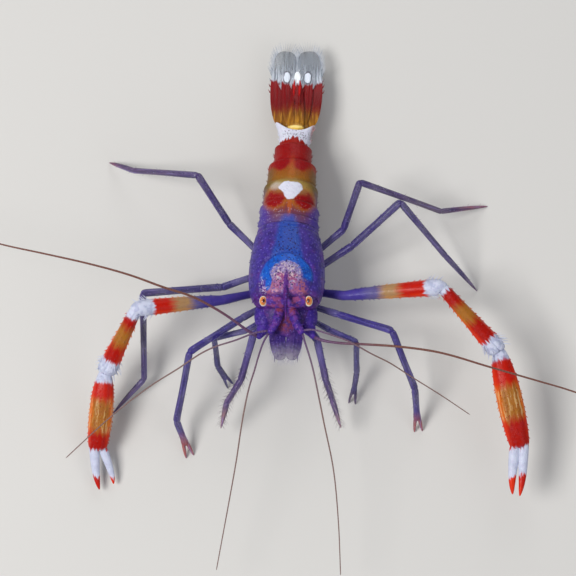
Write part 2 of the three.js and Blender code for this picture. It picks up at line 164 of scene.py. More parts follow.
class Course:
    """A smooth line through knots, measured in mm from its first one.

    Args:
        knots: The points that the line passes through, in order.
    """

    def __init__(self, knots: Iterable[Sequence[float]]) -> None:
        k = np.array([tuple(knot) for knot in knots], float)
        padded = np.vstack([2 * k[0] - k[1], k, 2 * k[-1] - k[-2]])
        samples = [k[0]]
        for i in range(len(k) - 1):
            p0, p1, p2, p3 = padded[i : i + 4]
            d0, d1, d2 = (max(np.linalg.norm(b - a) ** 0.5, 1e-4) for a, b in ((p0, p1), (p1, p2), (p2, p3)))
            t1 = ((p1 - p0) / d0 - (p2 - p0) / (d0 + d1) + (p2 - p1) / d1) * d1
            t2 = ((p2 - p1) / d1 - (p3 - p1) / (d1 + d2) + (p3 - p2) / d2) * d1
            for s in np.arange(1, STEPS + 1) / STEPS:
                c2, c3 = -3 * p1 + 3 * p2 - 2 * t1 - t2, 2 * p1 - 2 * p2 + t1 + t2
                samples.append(p1 + t1 * s + c2 * s * s + c3 * s * s * s)
        self.line = np.array(samples)
        self.runs = np.concatenate([[0], np.cumsum(np.linalg.norm(np.diff(self.line, axis=0), axis=1))])
        self.length = float(self.runs[-1])

    def run_at(self, knot: float) -> float:
        """Returns the run in mm at a knot number, which may lie between or beyond the knots.

        Args:
            knot: The number, counted from 0.
        """
        last = len(self.line) - 1
        at = knot * STEPS
        if at < 0:
            return float(at * self.runs[1])
        if at > last:
            return float(self.length + (at - last) * (self.length - self.runs[-2]))
        return float(np.interp(at, np.arange(last + 1), self.runs))

    def point(self, run: float) -> Vector:
        """Returns the point at a run in mm; past either end the line goes straight on.

        Args:
            run: The run.
        """
        if 0 <= run <= self.length:
            return Vector([float(np.interp(run, self.runs, self.line[:, k])) for k in range(3)])
        first, second = (0, 1) if run < 0 else (-2, -1)
        step = self.line[second] - self.line[first]
        start, rest = (self.line[0], run) if run < 0 else (self.line[-1], run - self.length)
        return Vector(start + step / np.linalg.norm(step) * rest)

    def along(self, run: float) -> Vector:
        """Returns the direction of the line at a run in mm."""
        reach = 0.3
        return (self.point(run + reach) - self.point(run - reach)).normalized()

    def axes(self, run: float) -> Matrix:
        """Returns the line's own axes at a run in mm."""
        return axes_of(self.along(run))

    def ring(self, run: float, half: float, above: float | None = None, below: float | None = None) -> Ring:
        """Returns a ring square to the line; it is round and even where no heights are given.

        Args:
            run: Where it stands, mm.
            half: Its half-width, mm.
            above: How high it rises above the line, mm.
            below: How deep it hangs below the line, mm.
        """
        above = half if above is None else above
        return Ring(self.point(run), self.along(run), half, above, above if below is None else below)

    def rings(self, shares: Iterable[Sequence[float]], flat: float = 1.0) -> list[Ring]:
        """Returns rings from shares of the line's length and their radii in mm, pressed flat to a share."""
        return [self.ring(self.length * share, radius, radius * flat) for share, radius in shares]

    def at_knots(self, sizes: Iterable[Sequence[float]]) -> list[Ring]:
        """Returns a ring at each knot, from its half-width and, where given, height and depth in mm."""
        return [self.ring(self.run_at(number), *some) for number, some in enumerate(sizes)]

    def lie(self, points: np.ndarray) -> np.ndarray:
        """Says where points lie along the line.

        Args:
            points: Points in mm, one row each.

        Returns:
            One row each: mm across to the animal's left or the limb's rear, mm along, mm above the line.
        """
        start, step = self.line[:-1], np.diff(self.line, axis=0)
        lengths = np.linalg.norm(step, axis=1)
        ahead = step / lengths[:, None]
        across = np.cross(ahead, np.array(UP))
        across /= np.maximum(np.linalg.norm(across, axis=1), 1e-9)[:, None]
        above = np.cross(across, ahead)
        low, high = np.zeros(len(step)), lengths.copy()
        low[0], high[-1] = -1e3, 1e3
        rows = []
        for some in np.array_split(points, len(points) // 4096 + 1):
            offset = some[:, None] - start
            reach = np.clip(np.einsum("nmk,mk->nm", offset, ahead), low, high)
            away = offset - reach[..., None] * ahead
            pick, best = np.arange(len(some)), np.linalg.norm(away, axis=2).argmin(1)
            rest = away[pick, best]
            aside, rise = ((rest * axis[best]).sum(1) for axis in (across, above))
            rows.append(np.stack([aside, self.runs[best] + reach[pick, best], rise], axis=1))
        return np.concatenate(rows)


# ---- shaping meshes ----


class Form:
    """A mesh in the making, in millimetres in the animal's frame.

    Args:
        name: The piece's name.
        sides: Its rings' sides.
    """

    def __init__(self, name: str, sides: int = 8) -> None:
        bpy.ops.object.select_all(action="DESELECT")
        bpy.ops.mesh.primitive_circle_add(vertices=sides, radius=1, fill_type="NOTHING")
        self.object = bpy.context.object
        self.object.name = name
        self.sides = sides
        with self.edited():
            bpy.ops.mesh.select_all(action="SELECT")
            bpy.ops.mesh.delete(type="VERT")

    @staticmethod
    def drawn(name: str, rings: Iterable[Ring], sides: int, levels: int = 2) -> "Form":
        """Returns a closed form drawn through rings and subdivided.

        Args:
            name: The piece's name.
            rings: The rings from one end to the other.
            sides: How many sides each ring has.
            levels: How often it is subdivided.
        """
        form = Form(name, sides)
        form.draw(list(rings))
        return form.smooth(levels)

    def activate(self) -> None:
        """Makes this form the only selected and active object."""
        bpy.ops.object.select_all(action="DESELECT")
        self.object.select_set(True)
        bpy.context.view_layer.objects.active = self.object

    @contextmanager
    def edited(self) -> Iterator[None]:
        """Opens this form alone in edit mode, with nothing selected, and closes it again."""
        self.activate()
        bpy.ops.object.mode_set(mode="EDIT")
        bpy.ops.mesh.select_all(action="DESELECT")
        yield
        bpy.ops.object.mode_set(mode="OBJECT")

    def select(self, picks: Callable[[bmesh.types.BMVert], bool]) -> None:
        """Selects, in edit mode, some points and what lies between them, and nothing else.

        Args:
            picks: Says whether a point is wanted.
        """
        bpy.ops.mesh.select_all(action="DESELECT")
        bm = bmesh.from_edit_mesh(self.object.data)
        bm.verts.index_update()
        for vert in bm.verts:
            vert.select = bool(picks(vert))
        bm.select_flush(True)
        bmesh.update_edit_mesh(self.object.data)

    def draw(self, rings: Sequence[Ring]) -> None:
        """Adds each ring at its place, bridges them in order and closes both ends.

        Args:
            rings: The rings from one end to the other.
        """
        with self.edited():
            for ring in rings:
                axes = axes_of(ring.along)
                centre = ring.centre + axes.col[1] * (ring.above - ring.below) / 2
                bpy.ops.mesh.select_all(action="DESELECT")
                turn = axes.to_euler()
                bpy.ops.mesh.primitive_circle_add(
                    vertices=self.sides, radius=1, fill_type="NOTHING", location=centre, rotation=turn
                )
                bpy.ops.transform.resize(
                    value=(ring.half, (ring.above + ring.below) / 2, 1), center_override=centre,
                    orient_type="GLOBAL", orient_matrix=axes, orient_matrix_type="GLOBAL",
                )
            for number in range(len(rings) - 1):
                self.select(lambda vert: vert.index // self.sides in (number, number + 1))
                bpy.ops.mesh.bridge_edge_loops()
            for number in (0, len(rings) - 1):
                self.select(lambda vert: vert.index // self.sides == number)
                bpy.ops.mesh.edge_face_add()
            bpy.ops.mesh.select_all(action="SELECT")
            bpy.ops.mesh.normals_make_consistent(inside=False)

    def smooth(self, levels: int) -> "Form":
        """Subdivides the form, and returns it.

        Args:
            levels: How many times.
        """
        self.activate()
        modifier = self.object.modifiers.new("round", "SUBSURF")
        modifier.levels = modifier.render_levels = levels
        bpy.ops.object.modifier_apply(modifier=modifier.name)
        return self

    def read(self, what: str = "co") -> np.ndarray:
        """Returns one row for each of the form's points: its place in mm or, for "normal", its normal.

        Args:
            what: Either "co" or "normal".
        """
        flat = np.empty(len(self.object.data.vertices) * 3)
        self.object.data.vertices.foreach_get(what, flat)
        return flat.reshape(-1, 3)

    def move(self, points: np.ndarray) -> "Form":
        """Moves the form's points to new places, and returns it.

        Args:
            points: One row each, mm.
        """
        self.object.data.vertices.foreach_set("co", points.ravel())
        self.object.data.update()
        return self

    def carve(self, course: Course, depth: Callable[[np.ndarray], np.ndarray]) -> "Form":
        """Moves the skin in or out along its normals, and returns the form.

        Args:
            course: The line that the skin is measured along.
            depth: Gives mm outwards for each row of mm across, along and above.
        """
        points = self.read()
        return self.move(points + self.read("normal") * depth(course.lie(points))[:, None])

    def join(self, others: Sequence["Form"]) -> "Form":
        """Takes other forms, if there are any, into this one, and returns it, active.

        Args:
            others: The other forms.
        """
        self.activate()
        for other in others:
            other.object.select_set(True)
        if others:
            bpy.ops.object.join()
        return self

    def skin(self) -> BVHTree:
        """Returns a search tree of the form's faces as they are now."""
        bm = bmesh.new()
        bm.from_mesh(self.object.data)
        tree = BVHTree.FromBMesh(bm)
        bm.free()
        return tree


@dataclass(frozen=True)
class Spot:
    """Where one thorn or bristle grows: its root, its direction, its length and thickness in mm."""

    root: Vector
    along: Vector
    length: float
    radius: float


class Thorns:
    """Makes many thorns or bristles, each leaning over at its tip, out of one that is modelled once.

    Args:
        sides: How many sides each has.
    """

    BEND = 0.12
    PROFILE = ((0, 1), (0.35, 0.78), (0.72, 0.42), (1, 0.08))

    def __init__(self, sides: int) -> None:
        rings = []
        for at, radius in self.PROFILE:
            centre, along = Vector((self.BEND * at * at, 0, at)), Vector((2 * self.BEND * at, 0, 1))
            rings.append(Ring(centre, along, radius, radius, radius))
        model = Form("thorn", sides)
        model.draw(rings)
        self.points = model.read()
        self.faces = [tuple(face.vertices) for face in model.object.data.polygons]
        bpy.data.objects.remove(model.object)

    def grow(self, name: str, spots: Sequence[Spot]) -> list[Form]:
        """Returns one form that holds a copy at each spot, or nothing where there are no spots.

        Args:
            name: Its name.
            spots: The spots.
        """
        if not spots:
            return []
        points, faces = [], []
        for number, spot in enumerate(spots):
            turn = np.array(spot.along.normalized().to_track_quat("Z", "X").to_matrix())
            sized = self.points * np.array([spot.radius, spot.radius, spot.length])
            points.append(sized @ turn.T + np.array(spot.root))
            base = number * len(self.points)
            faces += [tuple(base + corner for corner in face) for face in self.faces]
        form = Form(name, 3)
        form.object.data.from_pydata(np.concatenate(points).tolist(), [], faces)
        return [form]


# ---- finishes ----


def paint(code: str) -> tuple[float, float, float, float]:
    """Returns an sRGB hex colour as linear red, green, blue and a full alpha."""
    parts = [int(code[i : i + 2], 16) / 255 for i in (1, 3, 5)]
    return (*(c / 12.92 if c <= 0.04045 else ((c + 0.055) / 1.055) ** 2.4 for c in parts), 1)


def put(
    tree: bpy.types.NodeTree, kind: str, inputs: dict[str | int, object] | None = None,
    stops: Stops = (), **settings: object,
) -> Sequence[Socket]:
    """Adds one node with its settings and links.

    Args:
        tree: The node tree.
        kind: Blender's name for the node, without its prefix.
        inputs: A value or another node's output for each named or numbered input.
        stops: The places and sRGB colours of a colour ramp.
        settings: The node's own settings.

    Returns:
        The node's outputs.
    """
    made = tree.nodes.new("ShaderNode" + kind)
    for name, value in settings.items():
        setattr(made, name, value)
    for key, value in (inputs or {}).items():
        if isinstance(value, Socket):
            tree.links.new(value, made.inputs[key])
        else:
            made.inputs[key].default_value = value
    if stops:
        elements = made.color_ramp.elements
        while len(elements) < len(stops):
            elements.new(1)
        for element, (at, _) in zip(elements, stops):
            element.position = at
        for element, (_, code) in zip(elements, stops):
            element.color = paint(code)
    return made.outputs


@dataclass(frozen=True)
class Sheen:
    """How a moist surface takes the light.

    Attributes:
        wet: How strong the film of water on it is; film is that film's roughness.
        depth: How much light goes under the skin; travel is how far, mm.
        grain: Its texture's size, mm.
        height: Its relief's height, mm.
    """

    roughness: float = 0.4
    wet: float = 0.1
    depth: float = 0.08
    bleed: Point = (1.0, 0.5, 0.8)
    bump: float = 0.25
    grain: float = 0.12
    height: float = 0.04
    travel: float = 0.5
    film: float = 0.15
    ior: float = 1.45
    gloss: float = 0.32


class Pattern:
    """A material in the making: where the skin lies along its line in mm, and the colour so far.

    Args:
        name: The material's name, which is what the real surface is.
        stops: The ground colour along the piece.
        wander: How far in mm the markings' edges stray.
        streak: How long in mm the fine lengthwise teeth are that bands run out in.
    """

    def __init__(self, name: str, stops: Stops, wander: float, streak: float = 0.0) -> None:
        self.material = bpy.data.materials.new(name)
        self.material.use_nodes = True
        self.material.node_tree.nodes.clear()
        self.put = partial(put, self.material.node_tree)
        here = self.put("TexCoord")["Object"]
        self.grain = self.put("Mapping", {"Vector": here, "Scale": (1 / MM,) * 3})[0]
        self.lie = self.put("Attribute", attribute_name="lie")["Vector"]
        teeth = self.streaks((4.5, 0.5, 4.5)) if streak else 0
        stray = self.put("TexNoise", {"Vector": self.grain, "Scale": 1.6, "Detail": 2})["Color"]
        stray = self.put("VectorMath", {0: stray, 1: (0.5,) * 3}, operation="SUBTRACT")[0]
        inputs = {0: stray, 1: (2 * wander,) * 3, 2: self.lie}
        self.lie = self.put("VectorMath", inputs, operation="MULTIPLY_ADD")[0]
        across, self.even_run, _ = self.put("SeparateXYZ", {0: self.lie})
        self.aside = self.put("Math", {0: across}, operation="ABSOLUTE")[0]
        self.run = self.even_run
        if streak:
            pushed = self.put("Math", {0: teeth, 1: 2 * streak, 2: self.run}, operation="MULTIPLY_ADD")[0]
            self.run = self.put("Math", {0: pushed, 1: streak}, operation="SUBTRACT")[0]
        self.colour = self.ramp(stops)

    def ramp(self, stops: Stops) -> Socket:
        """Returns a colour that changes along the piece.

        Args:
            stops: The colours.
        """
        reach = stops[-1][0]
        share = self.put("Math", {0: self.run, 1: reach}, operation="DIVIDE")[0]
        return self.put("ValToRGB", {0: share}, [(at / reach, code) for at, code in stops])[0]

    def lay(self, colour: str | Socket, *masks: Socket | float) -> None:
        """Lays a colour over what is there, as strongly as the product of some masks and shares.

        Args:
            colour: An sRGB hex colour or a socket.
            masks: The masks and shares.
        """
        top = paint(colour) if isinstance(colour, str) else colour
        inputs = {0: self.meet(*masks), 6: self.colour, 7: top}
        self.colour = self.put("Mix", inputs, data_type="RGBA")[2]

    def meet(self, *masks: Socket | float) -> Socket | float:
        """Returns what masks and shares have in common, which is their product.

        Args:
            masks: The masks and shares.
        """
        both = masks[0]
        for mask in masks[1:]:
            both = self.put("Math", {0: both, 1: mask}, operation="MULTIPLY")[0]
        return both

    def either(self, one: Socket, other: Socket) -> Socket:
        """Returns the greater of two masks at every point."""
        return self.put("Math", {0: one, 1: other}, operation="MAXIMUM")[0]

    def eased(self, value: Socket, none: float, full: float) -> Socket:
        """Returns a mask that eases from 0 where value is at none to 1 where it is at full."""
        inputs = {"Value": value, "From Min": none, "From Max": full}
        return self.put("MapRange", inputs, interpolation_type="SMOOTHSTEP")[0]

    def slant(self, slope: float, run: Socket | None = None) -> Socket:
        """Returns the run in mm, plus a slope for every mm to either side of the middle line."""
        inputs = {0: self.aside, 1: slope, 2: self.run if run is None else run}
        return self.put("Math", inputs, operation="MULTIPLY_ADD")[0]

    def patch(self, centre: Pair, radii: Pair, soft: float = 0.2, hollow: float = 0.0) -> Socket:
        """Returns a mask that is 1 inside an oval of the skin.

        Args:
            centre: Its middle, mm across and along.
            radii: Its half-size, mm across and along; a very large one makes a band.
            soft: How wide its edge is, as a share of its size.
            hollow: Where above 0, the mask is only a rim of this half-width, as a share of the size.
        """
        scale = (1 / radii[0], 1 / radii[1], 0)
        place = (-centre[0] / radii[0], -centre[1] / radii[1], 0)
        sized = self.put("Mapping", {"Vector": self.lie, "Location": place, "Scale": scale})[0]
        far = self.put("VectorMath", {0: sized}, operation="LENGTH")["Value"]
        if hollow:
            off = self.put("Math", {0: far, 1: 1}, operation="SUBTRACT")[0]
            far = self.put("Math", {0: off}, operation="ABSOLUTE")[0]
        edge = hollow or 1
        return self.eased(far, edge + soft / 2, edge - soft / 2)

    def band(self, start: float, end: float, soft: float) -> Socket:
        """Returns a mask across the whole piece from one run to another, mm."""
        return self.patch((0, (start + end) / 2), (50, (end - start) / 2), soft)

    def dots(self, spacing: float, radius: float, soft: float = 0.05) -> Socket:
        """Returns a mask of round dots, with their usual spacing and radius in mm."""
        cells = self.put("TexVoronoi", {"Vector": self.grain, "Scale": 1 / spacing})["Distance"]
        return self.eased(cells, radius / spacing + soft, radius / spacing - soft)

    def cloud(self, size: float, none: float = 0.4, full: float = 0.65) -> Socket:
        """Returns a soft uneven mask whose blotches are about a size in mm."""
        noise = self.put("TexNoise", {"Vector": self.grain, "Scale": 1 / size, "Detail": 3})[0]
        return self.eased(noise, none, full)

    def streaks(self, scale: Point, detail: float = 2.0) -> Socket:
        """Returns a noise that is drawn out along the piece, with its lines per mm each way."""
        lines = self.put("Mapping", {"Vector": self.lie, "Scale": scale})[0]
        return self.put("TexNoise", {"Vector": lines, "Scale": 1, "Detail": detail})[0]

    def between(self, value: Socket, places: Pair, results: Pair) -> Socket:
        """Returns a value brought evenly from one range of places to a range of results."""
        inputs = dict(zip(("Value", "From Min", "From Max", "To Min", "To Max"), (value, *places, *results)))
        return self.put("MapRange", inputs)[0]

    def finish(self, look: Sheen, relief: Socket | None = None, alpha: Socket | float = 1) -> Material:
        """Ends the material with its surface.

        Args:
            look: Its gloss, softness and grain.
            relief: A height in 0 to 1, besides the grain.
            alpha: How much of the light the skin stops.

        Returns:
            The material.
        """
        height = self.put("TexNoise", {"Vector": self.grain, "Scale": 1 / look.grain, "Detail": 2})[0]
        bump = self.put("Bump", {"Height": height, "Strength": look.bump, "Distance": look.grain * MM})[0]
        if relief is not None:
            inputs = {"Height": relief, "Strength": 0.6, "Distance": look.height * MM, "Normal": bump}
            bump = self.put("Bump", inputs)[0]
        inputs = {
            "Base Color": self.colour,
            "Roughness": self.between(height, (0, 1), (look.roughness - 0.06, look.roughness + 0.08)),
            "Normal": bump,
            "IOR": look.ior,
            "Alpha": alpha,
            "Specular IOR Level": look.gloss,
            "Subsurface Weight": look.depth,
            "Subsurface Radius": look.bleed,
            "Subsurface Scale": look.travel * MM,
            "Coat Weight": look.wet,
            "Coat Roughness": look.film,
        }
        self.put("OutputMaterial", {"Surface": self.put("BsdfPrincipled", inputs)[0]})
        return self.material


@dataclass(frozen=True)
class VioletShell:
    """Carapace cuticle: thin moist chitin over pigmented skin, so the colour is deep and slightly cloudy."""

    name: str = "moist_violet_chitin"
    violet: str = "#3B2A88"
    plum: str = "#54227C"

    def material(self) -> Material:
        """Returns the material with its blue arch, speckled triangle and pale brow."""
        p = Pattern(self.name, ((0, self.plum), (0.8, self.violet), (5, self.violet), (12, "#4C3A82")), 0.15)
        p.lay("#24165A", 0.6, p.cloud(0.6))
        p.lay("#5E2A80", 0.45, p.cloud(1.7, 0.5, 0.64))
        p.lay("#6F60C0", 0.55, p.dots(0.32, 0.08, 0.12))
        # the speckled blue triangle from the arch to the rear edge, its sides broken into dots
        triangle = p.meet(p.eased(p.slant(6), 15.2, 11.6), p.eased(p.run, 3.2, 4))
        p.lay("#163F98", 0.92, triangle)
        p.lay("#2E66BC", 0.4, triangle, p.dots(0.24, 0.06, 0.1))
        # the pale brow between the arms of the arch: cream grains, then rose towards the eyes
        brow = p.patch((0, 1.95), (1.75, 1.75), 0.5)
        p.lay("#7C629E", 0.9, brow)
        crown = p.patch((0, 2.35), (1.7, 1.35), 0.6)
        p.lay("#A090B4", 0.75, crown)
        p.lay("#C4B6BC", 0.85, crown, p.dots(0.26, 0.11, 0.14))
        blotches = p.cloud(0.3, 0.36, 0.58)
        for side in (-1, 1):
            p.lay("#AC5468", 0.9, blotches, p.patch((side * 0.55, 1.45), (0.6, 0.6), 0.9))
            p.lay("#A85C7C", 0.9, blotches, p.patch((side * 1.1, 0.5), (1, 0.55), 0.9))
            p.lay("#9C5864", 0.9, blotches, p.patch((side * 1.6, 0.9), (0.35, 0.7), 0.9))
        p.lay("#C9A8A8", 0.6, brow, p.dots(0.26, 0.06, 0.1))
        p.lay(self.plum, 0.55, brow, p.cloud(0.3, 0.48, 0.6))
        fringe = p.meet(p.patch((0, 1.9), (1.5, 1.45), 0.5, 0.22), p.eased(p.run, 1.6, 2.4))
        p.lay("#2A50A8", 0.8, fringe, p.cloud(0.22, 0.44, 0.56))
        # the bright arch, whose right arm is the longer one
        arch = p.meet(p.patch((0, 1.9), (2.1, 1.9), 0.16, 0.24), p.eased(p.run, 1.25, 1.75))
        arch = p.either(arch, p.patch((-1.8, 1.2), (0.32, 0.85), 0.4))
        p.lay("#0A52B8", arch)
        p.lay("#0E3A94", 0.7, arch, p.cloud(0.4, 0.5, 0.6))
        # the pale blue dots over the arch are painted highlights, not pigment
        p.lay("#3C92E0", 0.6, arch, p.dots(0.3, 0.06, 0.1))
        # pale lilac dotted patches on the right flank, the side towards the key lamp: painted glints, not
        # pigment
        for place, size in (((-2.5, 1.2), (0.2, 0.66)), ((-2.15, 0.45), (0.42, 0.26))):
            p.lay("#C8C0DC", 0.85, p.patch(place, size, 0.9), p.dots(0.17, 0.065, 0.14))
        # dark spinule points over the brow and the triangle, and the plum keel down the brow
        p.lay("#1E1450", 0.95, p.either(brow, triangle), p.dots(0.31, 0.085))
        p.lay(self.plum, 0.95, p.patch((-0.05, 0.1), (0.24, 2.3), 0.6))
        return p.finish(Sheen(), p.dots(0.3, 0.1, 0.15))


@dataclass(frozen=True)
class HeadSkin:
    """Cuticle of the stalks, peduncles and scales: violet, with rosy and red pigment near the rostrum.

    Attributes:
        clear: How much light the tip lets through.
        blush: Where an orange-red flush lies, mm along, and its size; a size of 0 is none.
    """

    name: str
    base: str
    rose: str
    tip: str = ""
    rosy: float = 0.5
    clear: float = 0.0
    blush: Pair = (0.0, 0.0)

    def material(self) -> Material:
        """Returns the material."""
        p = Pattern(self.name, ((0, self.base), (3, self.base), (4.6, self.tip or self.base)), 0.1)
        p.lay(self.rose, self.rosy, p.cloud(0.5, 0.42, 0.6))
        p.lay("#2A1A60", 0.5, p.cloud(0.4, 0.5, 0.64))
        p.lay("#7C68C0", 0.45, p.dots(0.3, 0.07, 0.12))
        place, size = self.blush
        if size:
            p.lay("#98402E", 0.65, p.patch((0, place), (size, size), 1.4), p.cloud(0.4, 0.3, 0.6))
        alpha = p.between(p.run, (2.4, 4.8), (1, 1 - self.clear)) if self.clear else 1
        return p.finish(Sheen(roughness=0.48, wet=0.03, gloss=0.16), p.dots(0.3, 0.1, 0.15), alpha)


@dataclass(frozen=True)
class BandedShell:
    """Abdominal cuticle: glossy tergites with bands of red and amber pigment and opaque white patches."""

    name: str = "moist_banded_chitin"
    red: str = "#86060C"
    white: str = "#D0D2E2"
    ground: Stops = (
        (7, "#4C3A88"), (8.4, "#5C3C66"), (9.4, "#6C3440"), (10, "#843A1C"), (11.7, "#946018"),
        (12.4, "#80682A"), (13.3, "#8A561A"), (14.4, "#8E4414"), (15.1, "#90120A"), (17.4, "#86060C"),
        (18.2, "#90160A"), (22, "#A03010"),
    )

    def material(self) -> Material:
        """Returns the material with its bands along the whole abdomen."""
        p = Pattern(self.name, self.ground, 0.2, 0.5)
        p.lay("#5E4C22", 0.7, p.eased(p.aside, 1.3, 2.4), p.patch((0, 12.8), (9, 1.9), 0.3))
        for side in (-1, 1):
            p.lay("#4A3A92", 0.95, p.patch((side * 3.4, 8.6), (1.4, 3.4), 0.9))
            p.lay(self.red, p.patch((side * 1 - 0.12, 15.1), (0.8, 1), 0.45))
            p.lay("#A4621C", 0.7, p.patch((side * 1.42 - 0.06, 10.95), (1.3, 1.4), 0.5))
            spot = p.patch((side * 1.45 - 0.06, 10.85), (1.02, 1.1), 0.4)
            p.lay(self.red, spot)
            p.lay("#C46434", 0.45, spot, p.dots(0.34, 0.06, 0.1))
        p.lay("#B45A1E", 0.6, p.patch((0, 9.9), (0.2, 1.2), 1.2))
        p.lay("#B4A8C8", 0.38, p.eased(p.run, 10.6, 9.4), p.dots(0.27, 0.06, 0.1))
        p.lay("#2C4CA4", 0.8, p.patch((0, 7.6), (0.8, 1.3), 0.8))
        p.lay("#A08C52", 0.5, p.patch((0, 12.1), (1.9, 0.95), 0.7))
        p.lay("#BCB6B4", 0.55, p.patch((-1.5, 12.2), (0.6, 0.4), 1))
        p.lay("#C46A1C", 0.2, p.patch((0, 14.3), (0.3, 1.4), 1.4))
        p.lay("#3A1410", 0.4, p.dots(0.4, 0.045))
        # the white heart, wide behind and blunt in front
        flare = p.eased(p.slant(-4 / 3, p.even_run), 10.16, 10.3733)
        ends = p.meet(p.eased(p.even_run, 12.62, 12.5), p.eased(p.even_run, 10.52, 10.68))
        heart = p.meet(flare, ends, p.patch((0, 11.72), (1.24, 1.08), 0.14))
        # the white rear somite, which the red runs into along its middle
        rear = p.eased(p.slant(0.36), 18.5, 18.68)
        p.lay(self.white, heart)
        p.lay(self.white, rear)
        p.lay("#A6A2BC", 0.14, p.either(heart, rear), p.cloud(0.4, 0.45, 0.6))
        p.lay("#43303C", 0.8, p.patch((0.2, 19.1), (1.5, 0.7), 0.7), p.dots(0.21, 0.065, 0.1))
        p.lay("#A8481C", 0.7, p.patch((1.95, 19.4), (0.3, 1.1), 1.2))
        return p.finish(Sheen(wet=0.05, gloss=0.18), p.dots(0.3, 0.09, 0.15))


@dataclass(frozen=True)
class FanBlade:
    """Tail-fan cuticle: thin blades, amber and red at the root and clear as frosted glass at the end.

    Attributes:
        solid: True for the telson and inner blades, whose ends are opaque white.
    """

    name: str
    solid: bool = True
    ground: Stops = (
        (0, "#D8B048"), (0.3, "#A06C14"), (1.6, "#7E4C12"), (2.4, "#76220C"), (3, "#6E040A"),
        (5, "#7E050C"), (10, "#74040A"),
    )
    milk: Stops = ((0.0, "#E0E6F2"), (5.8, "#D4DCEA"), (7.4, "#9AA5B3"), (9.0, "#7A8490"))

    def material(self) -> Material:
        """Returns the material, measured along the telson for every blade, so that their bands meet."""
        p = Pattern(self.name, self.ground, 0.1, 0.5)
        noise = p.streaks((4.42, 0.39, 0))
        p.lay("#4A1010", 0.28, p.eased(noise, 0.5, 0.66))
        p.lay("#C89030", 0.5, p.eased(noise, 0.5, 0.38), p.eased(p.run, 2.5, 1.6))
        # the red ends further back at the fan's outer edges
        pale = p.eased(p.slant(-0.3), 4.75, 5.15)
        p.lay(p.ramp(self.milk), pale)
        p.lay("#414B5A", 0.7, pale, p.eased(p.streaks((9, 0.25, 0), 1), 0.46, 0.6))
        alpha = 1
        if self.solid:
            for side in (-1, 1):
                p.lay("#4A4450", 0.7, p.patch((side * 1.07, 5.95), (0.4, 0.72), 0.14, 0.12))
                p.lay("#DCE4F2", p.patch((side * 1.07, 5.95), (0.31, 0.6), 0.2))
                p.lay("#B01012", p.patch((side * 0.28, 4.5), (0.12, 0.85), 0.3))
            p.lay("#F0F4FA", p.patch((0, 6), (0.34, 0.85), 0.2))
            # a pale yellow crescent over the amber root of the telson: a painted highlight on its top
            p.lay("#F2DC8C", 0.85, p.patch((0, 0.1), (0.66, 0.15), 0.8))
        else:
            haze = p.between(p.run, (5.4, 7.6), (0.9, 0.42))
            alpha = p.either(haze, p.between(pale, (0, 1), (1, 0)))
        return p.finish(Sheen(roughness=0.33), p.eased(noise, 0.3, 0.7), alpha)


@dataclass(frozen=True)
class LegCuticle:
    """Leg cuticle: clear blue-violet chitin, darker towards the body, with fine lengthwise lines.

    Attributes:
        base: Its colour a third of the way along.
        tip: Its colour near the toe.
        end: Its colour at the toe.
        reach: The leg's length, mm.
        alpha: How much of the light it stops.
    """

    name: str
    base: str
    tip: str
    end: str
    reach: float
    alpha: float = 0.82

    def material(self) -> Material:
        """Returns the material; it darkens from the toe to the hip."""
        codes = ("#30237C", self.base, self.tip, self.tip, self.end)
        shares = (0, 1 / 3, 2.2 / 3, 2.6 / 3, 0.95)
        p = Pattern(self.name, [(share * self.reach, code) for share, code in zip(shares, codes)], 0.05)
        noise = p.streaks((4, 0.22, 4), 1)
        p.lay("#241C58", 0.6, p.eased(noise, 0.5, 0.62))
        p.lay("#8278B8", 0.5, p.eased(noise, 0.46, 0.36))
        p.lay("#9A92CC", 0.45, p.dots(0.3, 0.05, 0.1))
        alpha = p.between(p.cloud(1.2), (0, 1), (self.alpha - 0.08, self.alpha + 0.08))
        return p.finish(Sheen(roughness=0.36, depth=0.2), alpha=alpha)


@dataclass(frozen=True)
class ClawCuticle:
    """Cuticle of the great claws: glossy bands of scarlet, amber and opaque white over clear violet.

    Attributes:
        middle: The colours down the middle, mm from the hip.
        sides: The colours along the two edges.
        amber: Where the palm's amber band lies, mm from the hip.
        whites: Where the white bands lie, mm from the hip.
        greys: How strongly each of them is mottled.
    """

    name: str
    middle: Stops
    sides: Stops
    amber: Pair
    whites: Pairs
    greys: tuple[float, ...] = (0.5, 0.5, 0.2)

    def material(self) -> Material:
        """Returns the material; across is measured in shares of a piece's half-width."""
        p = Pattern(self.name, self.middle, 0.1, 0.7)
        p.lay(p.ramp(self.sides), p.eased(p.aside, 0.5, 0.92))
        palm = p.band(*self.amber, 0.4)
        stripe = p.streaks((5, 0.3, 5))
        p.lay("#D8B884", 0.5, palm, p.eased(stripe, 0.48, 0.62))
        p.lay("#8A4A1C", 0.5, palm, p.eased(stripe, 0.46, 0.34))
        p.lay("#8C1410", 0.8, palm, p.dots(0.42, 0.07))
        for (start, end), strength in zip(self.whites, self.greys):
            p.lay("#8890B4", strength, p.band(start, end, 0.5), p.cloud(0.55, 0.44, 0.62))
        p.lay("#8A5A70", 0.07, p.cloud(0.5, 0.5, 0.7))
        return p.finish(Sheen(wet=0.05, gloss=0.18), p.dots(0.36, 0.08, 0.2))


@dataclass(frozen=True)
class FeelerCuticle:
    """Feeler cuticle: fine horny rings, dull red-brown or pale rose."""

    name: str
    root: str
    tip: str
    ring: float = 0.3

    def material(self) -> Material:
        """Returns the material, its rings coarser than the real 0.1 mm so that they show."""
        p = Pattern(self.name, ((0, self.root), (8, self.tip), (46, self.tip)), 0.02)
        turn = p.put("Math", {0: p.run, 1: math.tau / self.ring}, operation="MULTIPLY")[0]
        rings = p.eased(p.put("Math", {0: turn}, operation="SINE")[0], 0.2, 0.9)
        p.lay("#3C2420", 0.35, rings)
        return p.finish(Sheen(roughness=0.5, depth=0), rings)


